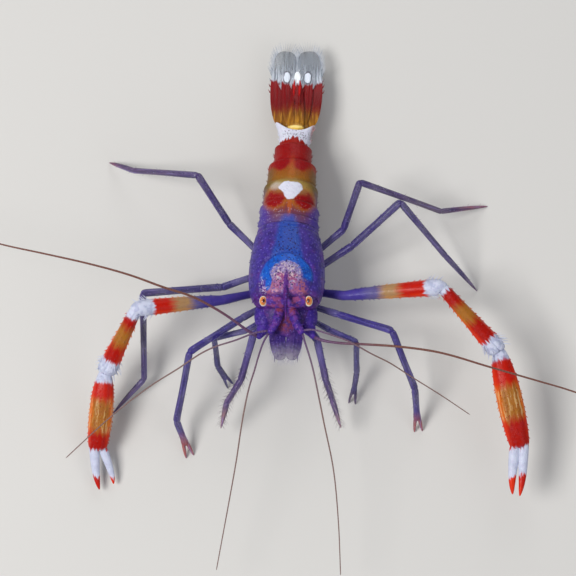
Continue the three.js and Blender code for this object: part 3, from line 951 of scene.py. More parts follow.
@dataclass(frozen=True)
class Cornea:
    """A wet compound eye: golden, with a pale rim and a dark false pupil on its inner side."""

    name: str = "wet_golden_cornea"
    rim: str = "#F0E4D4"

    def material(self) -> Material:
        """Returns the material; the eye's lie is measured in shares of its radius."""
        p = Pattern(self.name, ((0, self.rim), (4, self.rim)), 0.03)
        p.lay("#D98A34", p.patch((-0.1, 0), (0.78, 0.8), 0.16))
        p.lay("#B4521C", p.patch((-0.3, 0), (0.5, 0.55), 0.5))
        p.lay("#2A0A0C", p.patch((-0.38, 0.02), (0.27, 0.36), 0.25))
        look = Sheen(roughness=0.14, wet=0.8, depth=0, bump=0.05, gloss=0.5)
        return p.finish(look, p.dots(0.1, 0.04, 0.2))


@dataclass(frozen=True)
class SoftSkin:
    """Skin under the thorax: pale violet, soft and slightly clear."""

    name: str = "soft_pale_violet_skin"

    def material(self) -> Material:
        """Returns the material with faint blotches."""
        p = Pattern(self.name, ((0, "#5A4CA0"), (10, "#4A3C94")), 0.1)
        p.lay("#342A7C", 0.7, p.cloud(0.7))
        return p.finish(Sheen(roughness=0.42, depth=0.3))


@dataclass(frozen=True)
class Bristle:
    """Bristles: hair-thin clear chitin, which shows as a pale or dark line."""

    name: str
    root: str
    tip: str
    alpha: float = 0.7

    def material(self) -> Material:
        """Returns the material."""
        p = Pattern(self.name, ((0, self.root), (40, self.tip)), 0)
        p.lay(self.tip, p.cloud(0.5))
        alpha = p.between(p.cloud(0.8), (0, 1), (self.alpha - 0.1, self.alpha))
        return p.finish(Sheen(wet=0, depth=0), alpha=alpha)


# ---- the workroom ----


class Workroom:
    """What every sub-assembly shares: the place in the row frame, thorn models, finishes and dice."""

    def __init__(self) -> None:
        corners = [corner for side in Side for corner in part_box(f"eye_{side.value}")]
        self.shift = sum(corners, Vector()) / len(corners) / MM - EYE_MIDDLE
        self.thorn = Thorns(5)
        self.bristle = Thorns(3)
        self.dice = random.Random(SEED)
        self.materials: dict[object, Material] = {}

    def dress(self, form: Form, lie: np.ndarray, finish: object) -> None:
        """Gives a form its material, made once, and the attribute that says where its skin lies.

        Args:
            form: The finished form, in mm.
            lie: One row for each point: how far it is across, along and above, mm or shares.
            finish: Its finish.
        """
        if finish not in self.materials:
            self.materials[finish] = finish.material()
        mesh = form.object.data
        attribute = mesh.attributes.new("lie", "FLOAT_VECTOR", "POINT")
        attribute.data.foreach_set("vector", lie.astype(np.float32).ravel())
        mesh.materials.append(self.materials[finish])

    def settle(
        self, form: Form, grown: Sequence[Form], course: Course, finish: object, slot: Slot, *nodes: str,
        spread: float = 1.0,
    ) -> None:
        """Joins a piece, brings it to metres in the row frame, hangs it under the root and hides the CAD
        nodes it stands for.

        Args:
            form: Its main form, in mm.
            grown: What grows on it.
            course: The line that its skin is measured along.
            finish: The finish of whatever hasn't its own yet.
            slot: Its material slot; not used.
            nodes: The CAD nodes.
            spread: What across and above are counted in, mm.
        """
        for one in (form, *grown):
            if not one.object.data.materials:
                self.dress(one, course.lie(one.read()) / (spread, 1, spread), finish)
        made = form.join(grown).object
        bpy.ops.object.shade_smooth_by_angle(angle=SHARP)
        made.scale = (MM, MM, MM)
        made.location = self.shift * MM
        bpy.ops.object.transform_apply(location=True, rotation=True, scale=True)
        made.data.name = made.name
        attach(made, "root")
        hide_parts(*nodes)
        LOG.info("%s: %d faces", made.name, len(made.data.polygons))

    def row(
        self, form: Form, course: Course, runs: Pair, angles: Pair, count: int, size: Point, lean: float,
        grain: Thorns | None = None,
    ) -> list[Form]:
        """Grows thorns or bristles on a form's skin.

        Args:
            form: The form whose skin they stand on.
            course: The form's line.
            runs: The first and last run, mm.
            angles: The range round the line in degrees, 0 to the animal's left or the limb's rear, 90 up.
            count: How many.
            size: The shortest and longest length and the radius, mm.
            lean: How far they lean along the line, as a share of standing straight out.
            grain: The thorn model; the workroom's own thorn where it is left out.

        Returns:
            One form, or none.
        """
        skin = form.skin()
        spots = []
        for number in range(count):
            share = (number + self.dice.random() * JITTER) / count
            run = runs[0] + (runs[1] - runs[0]) * share
            angle = math.radians(self.dice.uniform(*angles))
            axes = course.axes(run)
            out = axes.col[0] * math.cos(angle) + axes.col[1] * math.sin(angle)
            hit, normal, _, _ = skin.ray_cast(course.point(run) + out * OUTSIDE, -out)
            if hit is not None:
                along = (normal + course.along(run) * lean).normalized()
                length = self.dice.uniform(size[0], size[1])
                spots.append(Spot(hit - along * length * SUNK, along, length, size[2]))
        return (grain or self.thorn).grow(f"{form.object.name}_thorns", spots)


# ---- limbs and leaves ----


class Limb(Course):
    """A jointed limb on one rounded line, so that pieces parted at a joint still meet in a smooth bend.

    Args:
        joints: The joints from the hip outwards, mm.
        bow: How far each article arches upwards, as a share of its length.
        bend: How far from a joint its bend starts, mm.
    """

    OVERLAP = 0.35  # how far a piece runs on past its end joint, in radii
    SOCKET = ((0.15, 0.8), (0.55, 0.97), (1.4, 1))  # radii past a joint, and shares of the radius there
    TOE = ((0.28, 0.8), (0.12, 0.5), (0.04, 0.28), (0, 0.1))  # shares of length from the tip and of radius

    def __init__(self, joints: Sequence[Vector], bow: float = 0.015, bend: float = 1.0) -> None:
        knots = [joints[0]]
        for start, end in zip(joints, joints[1:]):
            length = (end - start).length
            near = min(0.3, bend / length)
            knots += [start.lerp(end, share) + UP * bow * length for share in (near, 1 - near)] + [end]
        super().__init__(knots)

    def at(self, joint: float) -> float:
        """Returns the run of a joint in mm."""
        return self.run_at(3 * joint)

    def articles(
        self, first: int, radii: Sequence[float], flat: float = 1.0, toe: bool = False
    ) -> list[Ring]:
        """Returns the rings of articles, each swelling at its ends and pinched where it meets the next.

        Args:
            first: The joint that they start from.
            radii: The radius at each joint of theirs, mm.
            flat: The limb's height as a share of its width.
            toe: True where the last article runs out to a sharp tip.
        """
        places = [(self.at(first) - self.OVERLAP * radii[0], 0.55 * radii[0])]
        for number, (near, far) in enumerate(zip(radii, radii[1:])):
            start, end = self.at(first + number), self.at(first + number + 1)
            length = end - start
            step = min(1, 0.3 * length / max(near, far))
            places += [(start + k * near * step, r * near) for k, r in self.SOCKET]
            places.append((start + 0.5 * length, (near + far) * 0.45))
            if toe and number == len(radii) - 2:
                places += [(end - length * back, far * k) for back, k in self.TOE]
            else:
                places += [(end - 1.2 * far * step, far), (end - 0.35 * far * step, 1.03 * far)]
                places.append((end + 0.05 * far, 0.92 * far))
        if not toe:
            places.append((end + self.OVERLAP * radii[-1], 0.6 * radii[-1]))
        return [self.ring(run, radius, radius * flat) for run, radius in places]


class Blade(Course):
    """A thin leaf such as a fan blade, an antennal scale or a swimming paddle.

    Args:
        name: The piece's name.
        knots: The points of its middle line, root to tip.
        half: Its half-width at the widest, mm.
        thick: Its half-thickness in the middle, mm.
        ribs: Where its lengthwise ribs stand: mm across and mm high.
        widths: Shares of its length and of its half-width.
    """

    WIDTHS = (
        (0, 0.42), (0.06, 0.55), (0.14, 0.7), (0.28, 0.9), (0.45, 1),
        (0.62, 1), (0.78, 0.93), (0.9, 0.78), (0.97, 0.55), (1, 0.3),
    )
    RIB = 0.11  # a rib's half-width, mm
    LAST = 0.995  # where the last bristle of an edge stands, as a share of the length
    NEAR = 0.03  # the share of the length that an edge's slope is read over

    def __init__(
        self, name: str, knots: Iterable[Sequence[float]], half: float, thick: float,
        ribs: Sequence[Pair] = (), widths: Sequence[Pair] = WIDTHS,
    ) -> None:
        super().__init__(knots)
        self.name = name
        self.half = half
        self.thick = thick
        self.ribs = ribs
        self.widths = widths

    def form(self, sides: int = 16, levels: int = 2) -> Form:
        """Returns the leaf as a closed form with its ribs raised.

        Args:
            sides: Its rings' sides.
            levels: How often it is subdivided.
        """
        rings = [
            self.ring(self.length * at, self.half * width, self.thick * (0.55 + 0.45 * width))
            for at, width in self.widths
        ]
        return Form.drawn(self.name, rings, sides, levels).carve(self, self.relief)

    def relief(self, lie: np.ndarray) -> np.ndarray:
        """Returns the ribs' height for each point of the skin, in mm.

        Args:
            lie: One row each: mm across, along and above.
        """
        across, run, rise = lie.T
        fade = smooth_step(run / 0.6) * smooth_step((self.length - run) / (self.length * 0.3))
        height = sum((tall * hump(across, place, self.RIB) for place, tall in self.ribs), np.zeros(len(lie)))
        return height * fade * np.where(rise > 0, 1, 0.35)

    def spot(
        self, run: float, across: float, above: float, outwards: float, length: float, radius: float
    ) -> Spot:
        """Returns a place for a spine on the leaf.

        Args:
            run: Where it stands along the leaf, mm.
            across: How far from the middle line, mm, and to which side.
            above: How far above the middle line, mm.
            outwards: How far it leans from the line, sideways or, where it stands above, upwards.
            length: Its length, mm.
            radius: Its radius, mm.
        """
        axes = self.axes(run)
        root = self.point(run) + axes.col[0] * across + axes.col[1] * above
        lean = axes.col[1] if above else axes.col[0] * math.copysign(1, across)
        return Spot(root, self.along(run) + lean * outwards, length, radius)

    def width_at(self, share: float) -> float:
        """Returns the leaf's half-width in mm at a share of its length."""
        return self.half * float(np.interp(share, *zip(*self.widths)))

    def fringe(
        self, room: Workroom, first: float, count: int, length: Pair, finish: Bristle, radius: float = 0.028
    ) -> list[Form]:
        """Returns fine bristles along both edges of the leaf, fanned out round its tip.

        Args:
            room: The workroom.
            first: Where the fringe starts, as a share of the leaf's length.
            count: How many bristles.
            length: The shortest and longest, mm.
            finish: Their finish.
            radius: Their radius at the root, mm.
        """
        spots = []
        for number in range(count):
            share = min(first + (1 - first) * (number + room.dice.random() * 0.6) / count, self.LAST)
            side = 1 if number % 2 else -1
            width = self.width_at(share)
            slope = (self.width_at(share - self.NEAR) - width) / (self.NEAR * self.length)
            lean = 0.55 / (1 + max(slope, 0)) + room.dice.uniform(-0.08, 0.08)
            tall = room.dice.uniform(*length)
            spots.append(self.spot(self.length * share, side * width * 0.95, 0, lean, tall, radius))
        for number in range(-3, 4):
            across = self.width_at(1) * number / 3.2 + 0.001
            spots.append(self.spot(self.length, across, 0, abs(number) * 0.12, length[1], radius))
        grown = room.bristle.grow(f"{self.name}_fringe", spots)
        for one in grown:
            room.dress(one, self.lie(one.read()), finish)
        return grown


# ---- the body: carapace, head, thorax, abdomen and tail fan ----

BODY = Course(
    (
        (-0.1, -1.8, 8.5), (0, 2, 7.35), (0.1, 5.9, 6.45), (0.15, 6.8, 6.25), (0.25, 8.3, 5.95),
        (0.4, 10.6, 5.4), (0.55, 13.1, 4.7), (0.65, 15.2, 4.1), (0.85, 17.5, 3.5),
    )
)


@dataclass
class Carapace:
    """The shell over head and thorax, with the keel and rostrum that grow from it.

    Attributes:
        profile: Knot numbers of the body line, and shares of the half-width, height and depth there.
        rostrum: Its middle line, half-widths and heights, mm.
        thorns: Rows of small thorns: runs, angles, count, size.
    """

    room: Workroom
    half: float = 3.85
    above: float = 3.0
    below: float = 2.5
    profile: Rows = (
        (-0.15, 0.36, 0.4, 0.4), (-0.12, 0.62, 0.66, 0.66), (-0.05, 0.8, 0.83, 0.82),
        (0.07, 0.895, 0.91, 0.9), (0.25, 0.965, 0.955, 0.94), (0.45, 1, 0.98, 0.97),
        (0.7, 1.01, 1, 0.98), (1, 1, 1.02, 1),
        (1.3, 0.965, 1.02, 1), (1.6, 0.905, 1.01, 0.98), (1.85, 0.84, 0.985, 0.95), (2, 0.81, 0.965, 0.92),
        (2.06, 0.79, 0.95, 0.9), (2.05, 0.74, 0.9, 0.85), (1.9, 0.7, 0.86, 0.8),
    )
    rostrum: tuple[tuple[Point, float, float], ...] = (
        ((-0.08, 2.2, 9.9), 0.12, 0.1), ((-0.08, 1, 10.35), 0.17, 0.22), ((-0.09, -0.1, 10.75), 0.24, 0.34),
        ((-0.1, -0.9, 11), 0.25, 0.36), ((-0.11, -1.5, 11.25), 0.22, 0.36), ((-0.11, -2.1, 11.6), 0.17, 0.32),
        ((-0.12, -2.9, 12), 0.15, 0.24), ((-0.12, -3.7, 12.36), 0.1, 0.14),
        ((-0.12, -4.3, 12.62), 0.04, 0.05),
    )
    thorns: tuple[tuple[Pair, Pair, int, Point], ...] = (
        ((0.3, 4.2), (52, 128), 46, (0.14, 0.24, 0.05)),
        ((4.6, 8), (40, 140), 44, (0.12, 0.2, 0.045)),
        ((0.6, 7.6), (-30, 35), 40, (0.12, 0.22, 0.045)),
        ((0.6, 7.6), (145, 210), 40, (0.12, 0.22, 0.045)),
    )
    front_thorns: Pairs = ((14, 18), (162, 166), (-22, -18), (198, 202), (34, 36), (144, 146))

    def build(self) -> None:
        """Makes the shell and the rostrum."""
        rings = [
            BODY.ring(BODY.run_at(at), width * self.half, height * self.above, depth * self.below)
            for at, width, height, depth in self.profile
        ]
        shell = Form.drawn("carapace_shell", rings, 28, 3).carve(BODY, self.relief)
        grown = []
        for runs, angles, count, size in self.thorns:
            grown += self.room.row(shell, BODY, runs, angles, count, size, -1)
        for angles in self.front_thorns:
            grown += self.room.row(shell, BODY, (0.12, 0.2), angles, 1, (0.75, 0.8, 0.13), -1.6)
        self.room.settle(shell, grown, BODY, VioletShell(), Slot.CARAPACE, "carapace")
        self.build_rostrum()

    @staticmethod
    def relief(lie: np.ndarray) -> np.ndarray:
        """Returns the shell's grooves, keel, eye notches and open underside, in mm outwards.

        Args:
            lie: One row each: mm across, along and above.
        """
        across, run, rise = lie.T
        arch = np.hypot(across / 2.7, (run - 1.9) / 2.6)
        groove = -0.13 * hump(arch, 1, 0.06) * smooth_step(run - 0.3)
        brow = 0.1 * smooth_step((1 - arch) / 0.5)
        keel = 0.14 * hump(across, -0.08, 0.2) * smooth_step((2.6 - run) / 1.5)
        notch = sum(-0.3 * hump(np.hypot(across - side * 2.25, run + 0.15), 0, 0.42) for side in (-1, 1))
        rear = -0.07 * hump(run, 7.55, 0.12)
        flank = -0.08 * hump(rise, 0.1, 0.25) * smooth_step((run - 0.5) / 1.5)
        under = -0.75 * smooth_step(-rise - 1.2) * smooth_step(1.15 - np.abs(across) / 2.8)
        return smooth_step((rise + 0.6) / 1.2) * (groove + brow + keel + notch) + rear + flank + under

    def build_rostrum(self) -> None:
        """Makes the slender toothed rostrum that rises between the eyes."""
        course = Course(centre for centre, _, _ in self.rostrum)
        rings = course.at_knots((half, tall, tall * 0.8) for _, half, tall in self.rostrum)
        blade = Form.drawn("rostrum_blade", rings, 8)
        teeth = []
        for share in (0.16, 0.28, 0.4, 0.52, 0.64, 0.76, 0.87):
            run = course.length * share
            up, along = course.axes(run).col[1], course.along(run)
            root = course.point(run) + up * 0.34 * (1.05 - share)
            teeth.append(Spot(root, along * 0.9 + up, 0.5 - 0.3 * share, 0.09 - 0.04 * share))
        for share in (0.6, 0.78):
            run = course.length * share
            up, along = course.axes(run).col[1], course.along(run)
            teeth.append(Spot(course.point(run) - up * 0.08, along * 1.1 - up, 0.3, 0.06))
        plum = HeadSkin("dark_plum_chitin", "#3E1C70", "#7C2E70", rosy=0.4)
        grown = self.room.thorn.grow("rostrum_teeth", teeth)
        self.room.settle(blade, grown, course, plum, Slot.CARAPACE, "rostrum")


@dataclass
class Cheek:
    """One side of the head: eye, stalk, antennule, antennal base and scale, given for the left side.

    Attributes:
        eye_axis: Where an eye looks.
        stalk: Shares of the eyestalk's length, and its radii, mm.
        antenna_base: Points and radii from the cheek to the antenna's root, mm.
    """

    room: Workroom
    side: Side
    middle: float = -0.1
    eye_spacing: float = 4.5
    eye_radii: Point = (0.4, 0.54, 0.45)
    eye_axis: Point = (0.3, -0.12, 0.95)
    stalk_root: Point = (0.1, -1.75, 9.95)
    stalk: Pairs = (
        (0, 0.6), (0.15, 0.74), (0.35, 0.76), (0.58, 0.68), (0.75, 0.58), (0.85, 0.53), (0.9, 0.45),
        (0.88, 0.3),
    )
    antennule: Points = ((0.5, -1.8, 8.9), (0.75, -3, 9.1), (1.08, -3.95, 9.25), (1.6, -4.8, 9.22))
    antennule_radii: tuple[float, ...] = (0.58, 0.52, 0.45, 0.36)
    antenna_base: Rows = (
        (1.95, -1.5, 7.3, 0.7), (2.12, -2, 7.3, 1), (2.16, -2.6, 7.33, 1.06), (2.14, -3.2, 7.42, 1.04),
        (2.16, -3.7, 7.54, 0.92), (2.22, -3.95, 7.62, 0.74), (2.3, -4.1, 7.68, 0.72), (2.42, -4.4, 7.78, 0.6),
        (2.52, -4.62, 7.88, 0.42), (2.57, -4.72, 7.92, 0.4), (2.72, -4.98, 8.02, 0.32),
        (2.83, -5.14, 8.1, 0.22),
    )
    scale: Points = ((1, -2.6, 7.8), (0.86, -5.2, 8.05), (0.5, -7.4, 8.3))
    scale_half: float = 0.84
    scale_thick: float = 0.15

    def point(self, x: float, y: float, z: float) -> Vector:
        """Returns a point x mm out from the middle of the head."""
        return Vector((self.middle + self.side.sign * x, y, z))

    def settle(self, form: Form, grown: Sequence[Form], course: Course, finish: HeadSkin, word: str) -> None:
        """Settles a part of this side that is named by a word."""
        self.room.settle(form, grown, course, finish, Slot.CARAPACE, f"{word}_{self.side.value}")

    def build(self) -> None:
        """Makes this side's parts."""
        eye = self.point(self.eye_spacing / 2, EYE_MIDDLE.y, EYE_MIDDLE.z)
        self.build_eye(eye)
        self.build_stalk(eye)
        self.build_antennule()
        self.build_antenna_base()
        self.build_scale()

    def build_eye(self, centre: Vector) -> None:
        """Makes the cornea: a slightly long globe.

        Args:
            centre: Its middle, mm.
        """
        side = self.side
        form = Form(f"cornea_{side.value}", 3)
        with form.edited():
            bpy.ops.mesh.primitive_uv_sphere_add(segments=32, ring_count=20, radius=1, location=centre)
            bpy.ops.transform.resize(value=self.eye_radii, center_override=centre)
        axis = Vector((self.eye_axis[0] * side.sign, *self.eye_axis[1:])).normalized()
        outward = Vector((side.sign, 0, 0))
        across = (outward - axis * outward.dot(axis)).normalized()
        own = np.array((across, axis.cross(across) * side.sign, axis))
        local = (form.read() - np.array(centre)) / np.array(self.eye_radii)
        self.room.dress(form, local @ own.T, Cornea())
        self.room.settle(form, (), BODY, None, Slot.CORNEA, f"eye_{side.value}")

    def build_stalk(self, eye: Vector) -> None:
        """Makes the eyestalk, with the cup that holds the eye.

        Args:
            eye: The eye's middle, mm.
        """
        root = self.point(*self.stalk_root)
        course = Course((root, root.lerp(eye, 0.5) + Vector((0, 0.02, 0.02)), eye))
        form = Form.drawn(f"eyestalk_{self.side.value}_skin", course.rings(self.stalk, 0.9), 12)
        grown = self.room.row(form, course, (0.5, 1.7), (40, 140), 9, (0.12, 0.2, 0.04), 0.3)
        finish = HeadSkin("rosy_violet_chitin", "#54308E", "#8A4070", rosy=0.9)
        self.settle(form, grown, course, finish, "eyestalk")

    def build_antennule(self) -> None:
        """Makes the three-jointed stalk of the antennule."""
        limb = Limb([self.point(*place) for place in self.antennule], bow=0, bend=0.35)
        rings = limb.articles(0, self.antennule_radii)
        form = Form.drawn(f"antennule_{self.side.value}_stalk", rings, 12)
        grown = self.room.row(form, limb, (1, 3), (20, 160), 16, (0.25, 0.45, 0.03), 0.6, self.room.bristle)
        grown += self.room.row(form, limb, (0.6, 3), (-20, 200), 8, (0.16, 0.26, 0.05), 0.9)
        finish = HeadSkin("plum_violet_chitin", "#43298C", "#7C3E8A", blush=(0.9, 0.38))
        self.settle(form, grown, limb, finish, "antennule")

    def build_antenna_base(self) -> None:
        """Makes the swollen, thorny base of the antenna, which is the shrimp's cheek."""
        course = Course(self.point(*place[:3]) for place in self.antenna_base)
        rings = course.at_knots(place[3:] for place in self.antenna_base)
        form = Form.drawn(f"antenna_{self.side.value}_base", rings, 16)
        outward = (-50, 60) if self.side is Side.LEFT else (120, 230)
        grown = self.room.row(form, course, (1.2, 2.5), outward, 12, (0.25, 0.5, 0.07), 1.1)
        grown += self.room.row(form, course, (0.6, 2.4), (40, 140), 12, (0.12, 0.22, 0.05), 1)
        finish = HeadSkin("deep_violet_chitin", "#3A2884", "#54339A", rosy=0.6)
        self.settle(form, grown, course, finish, "antenna_base")

    def build_scale(self) -> None:
        """Makes the antennal scale: a thin blade with an outer spine and an inner fringe."""
        points = [self.point(*place) for place in self.scale]
        ribs = ((0, 0.12), (0.3, 0.06), (-0.3, 0.06))
        name = f"antenna_scale_{self.side.value}_blade"
        blade = Blade(name, points, self.scale_half, self.scale_thick, ribs)
        form = blade.form()
        hair = Bristle("clear_scale_fringe", "#A8A4B8", "#C8C6D4")
        fringe = blade.fringe(self.room, 0.45, 44, (0.4, 0.65), hair)
        # the blade runs forwards, so its across axis points to the animal's right
        spine = blade.spot(blade.length * 0.9, -self.side.sign * 0.55, 0, 0.2, 0.6, 0.09)
        grown = self.room.thorn.grow("scale_spine", [spine]) + fringe
        finish = HeadSkin("clear_violet_scale", "#3A2672", "#5A4078", "#8E889A", rosy=0.4, clear=0.4)
        self.settle(form, grown, blade, finish, "antenna_scale")


@dataclass
class Head:
    """Both sides of the head in front of the carapace."""

    room: Workroom

    def build(self) -> None:
        """Makes each side's parts."""
        for side in Side:
            Cheek(self.room, side).build()


@dataclass
class Feelers:
    """The long antennae and the two pairs of antennular whips, each with its own line from root to tip.

    Attributes:
        step: The usual distance between a whip's rings, mm.
    """

    room: Workroom
    antenna_radii: Pair = (0.16, 0.07)
    whip_radii: Pair = (0.11, 0.055)
    step: float = 0.8
    lines: tuple[tuple[str, Points], ...] = (
        ("antenna_left", (
            (2.62, -4.95, 8.02), (2.9, -5.2, 8.2), (4.8, -5.7, 8.7), (7.7, -6, 9.4), (11.2, -6.4, 10.2),
            (15.1, -7.1, 10.8), (20, -8.6, 11), (24.9, -10, 10.8), (28.4, -11, 10.4), (32.5, -12.6, 9.5),
            (36, -14.3, 8.3), (38, -15.4, 7.5),
        )),
        ("antenna_right", (
            (-2.85, -4.95, 8.02), (-3.5, -4.7, 8.3), (-5.7, -3.3, 9.4), (-7.6, -2.3, 10.4),
            (-9.5, -1.5, 11.3), (-12.1, -0.8, 12), (-15.5, 0.4, 12.3), (-19.4, 1.5, 12.3),
            (-23.9, 2.6, 12), (-28.3, 3.7, 11.4), (-32.6, 5.2, 10.3), (-36, 6.6, 9), (-38, 7.5, 8.1),
        )),
        ("antennule_inner_left", (
            (1.5, -4.7, 9.15), (1.6, -5.2, 9.2), (2.2, -7.1, 9.4), (2.6, -8.6, 9.3), (3, -10.5, 9),
            (3.7, -13.9, 8.2), (4.6, -18.2, 7.2), (5.1, -23.5, 6.1), (5.3, -28.5, 5.2),
        )),
        ("antennule_inner_right", (
            (-1.7, -4.7, 9.15), (-2.1, -5.2, 9.2), (-2.8, -7.1, 9.4), (-3.2, -8.6, 9.4), (-3.7, -10.1, 9.2),
            (-4.4, -13.4, 8.5), (-5, -17.3, 7.6), (-5.7, -21.1, 6.6), (-7, -28, 5.2),
        )),
        ("antennule_outer_left", (
            (1.55, -4.6, 9.3), (2.4, -4.5, 9.6), (4.3, -5.1, 9.8), (6.2, -5.8, 9.8), (8.2, -6.9, 9.5),
            (10.2, -7.8, 9), (12.2, -9, 8.4), (15.2, -10.8, 7.9), (18.2, -12.8, 7.6),
        )),
        ("antennule_outer_right", (
            (-1.75, -4.6, 9.3), (-2.9, -4.8, 9.6), (-3.7, -5.1, 9.8), (-5.1, -5.7, 9.9), (-7.1, -6.3, 9.8),
            (-8.6, -7, 9.6), (-10.6, -8.3, 9.2), (-13.6, -10.1, 8.6), (-17.4, -12.9, 7.6), (-22, -17, 6.6),
        )),
    )

    def build(self) -> None:
        """Makes each feeler as one tapering whip, a little swollen at its root."""
        brown = FeelerCuticle("ringed_brown_chitin", "#5A3E6C", "#70463C")
        rose = FeelerCuticle("ringed_rose_chitin", "#5C4674", "#7C625E")
        for name, points in self.lines:
            long = name.startswith("antenna_")
            course = Course(points)
            first, last = self.antenna_radii if long else self.whip_radii
            count = max(12, round(course.length / self.step))
            shares = [number / count for number in range(count + 1)]
            swollen = [1 + 0.5 * math.exp(-((share / 0.02) ** 2)) for share in shares]
            radii = [(first + (last - first) * share**0.8) * k for share, k in zip(shares, swollen)]
            form = Form.drawn(f"{name}_whip", course.rings(zip(shares, radii)), 8, 1)
            nodes = (f"{name}_near", f"{name}_far") if long else (name,)
            self.room.settle(form, (), course, brown if long else rose, Slot.FEELER, *nodes)


@dataclass
class Thorax:
    """The underside between the legs: a sloping breast plate with a short hip for every leg.

    Attributes:
        plates: The plate's middle line, half-widths, heights and depths, mm.
        mouth: The same for the mouth field under the head.
        hips: The end of each left hip.
        grain: The size of the cells that plate and hips are melted together in, mm.
    """

    room: Workroom
    plates: Sections = (
        ((0.05, 5.6, 3.35), 1, 0.4, 0.4), ((0.05, 5.2, 3.4), 1.5, 0.9, 0.5),
        ((0.05, 4.4, 3.5), 1.95, 1.4, 0.7),
        ((0, 1.5, 4), 2.1, 1.5, 0.9), ((-0.05, -1.5, 4.75), 1.7, 1.5, 0.85), ((-0.1, -3, 5.4), 1.2, 1.4, 0.7),
        ((-0.1, -3.8, 5.8), 0.7, 0.9, 0.45), ((-0.1, -4.2, 6), 0.3, 0.4, 0.2),
    )
    mouth: Sections = (
        ((-0.1, -0.9, 8), 1.5, 1, 1.2), ((-0.1, -1.8, 8.1), 2.5, 1.05, 1.5),
        ((-0.1, -2.8, 8.1), 2.6, 0.88, 1.5), ((-0.1, -3.7, 8), 2.2, 0.74, 1.3),
        ((-0.1, -4.5, 7.9), 1.45, 0.6, 0.9), ((-0.1, -5.1, 7.85), 0.7, 0.34, 0.5),
    )
    hips: Points = (
        (2.2, -3.5, 5.3), (1.9, -2.3, 4.7), (2.1, -1, 4.4), (2.4, 0.5, 3.9), (2.4, 2.4, 3.8), (2.3, 4, 3.6),
    )
    slope: Point = (0.0, -1.0, 0.22)
    grain: float = 0.09

    def build(self) -> None:
        """Makes the breast plate and hips, melts them into one skin and adds the mouth field."""
        along = Vector(self.slope).normalized()
        rings = [Ring(Vector(centre), along, *sizes) for centre, *sizes in self.plates]
        body = Form.drawn("thorax_underside", rings, 16)
        hips = []
        for x, y, z in self.hips:
            for side in Side:
                root = Vector((side.sign * 0.7, y, z + 0.15))
                limb = Limb([root, Vector((side.sign * (x + 0.12), y, z))], bow=0)
                hips.append(Form.drawn("hip", limb.articles(0, (0.56, 0.48)), 8))
        body.join(hips)
        melt = body.object.modifiers.new("melt", "REMESH")
        melt.mode, melt.voxel_size = "VOXEL", self.grain
        ease = body.object.modifiers.new("ease", "SMOOTH")
        ease.factor, ease.iterations = 0.5, 4
        for name in ("melt", "ease"):
            bpy.ops.object.modifier_apply(modifier=name)
        line = Course(centre for centre, *_ in self.plates)
        self.room.dress(body, line.lie(body.read()), SoftSkin())
        line = Course(centre for centre, *_ in self.mouth)
        rings = line.at_knots(sizes for _, *sizes in self.mouth)
        mouth = Form.drawn("mouth_field", rings, 16)
        grown = self.room.row(mouth, line, (0.8, 3.8), (30, 150), 20, (0.12, 0.24, 0.05), 0.9)
        finish = HeadSkin("plum_mouth_chitin", "#38246E", "#5E3480", rosy=0.6, blush=(2.9, 0.7))
        self.room.settle(body, [mouth, *grown], line, finish, Slot.UNDERSIDE, "thorax")


@dataclass(frozen=True)
class Somite:
    """One ring of the abdomen: half-widths, heights and depths at its front and rear, in mm.

    Attributes:
        waist: How far it narrows in the middle, as a share.
        paddle: The half-width of its swimming paddles; 0 is none.
    """

    half: Pair
    above: Pair
    below: Pair
    waist: float = 0.0
    paddle: float = 0.0


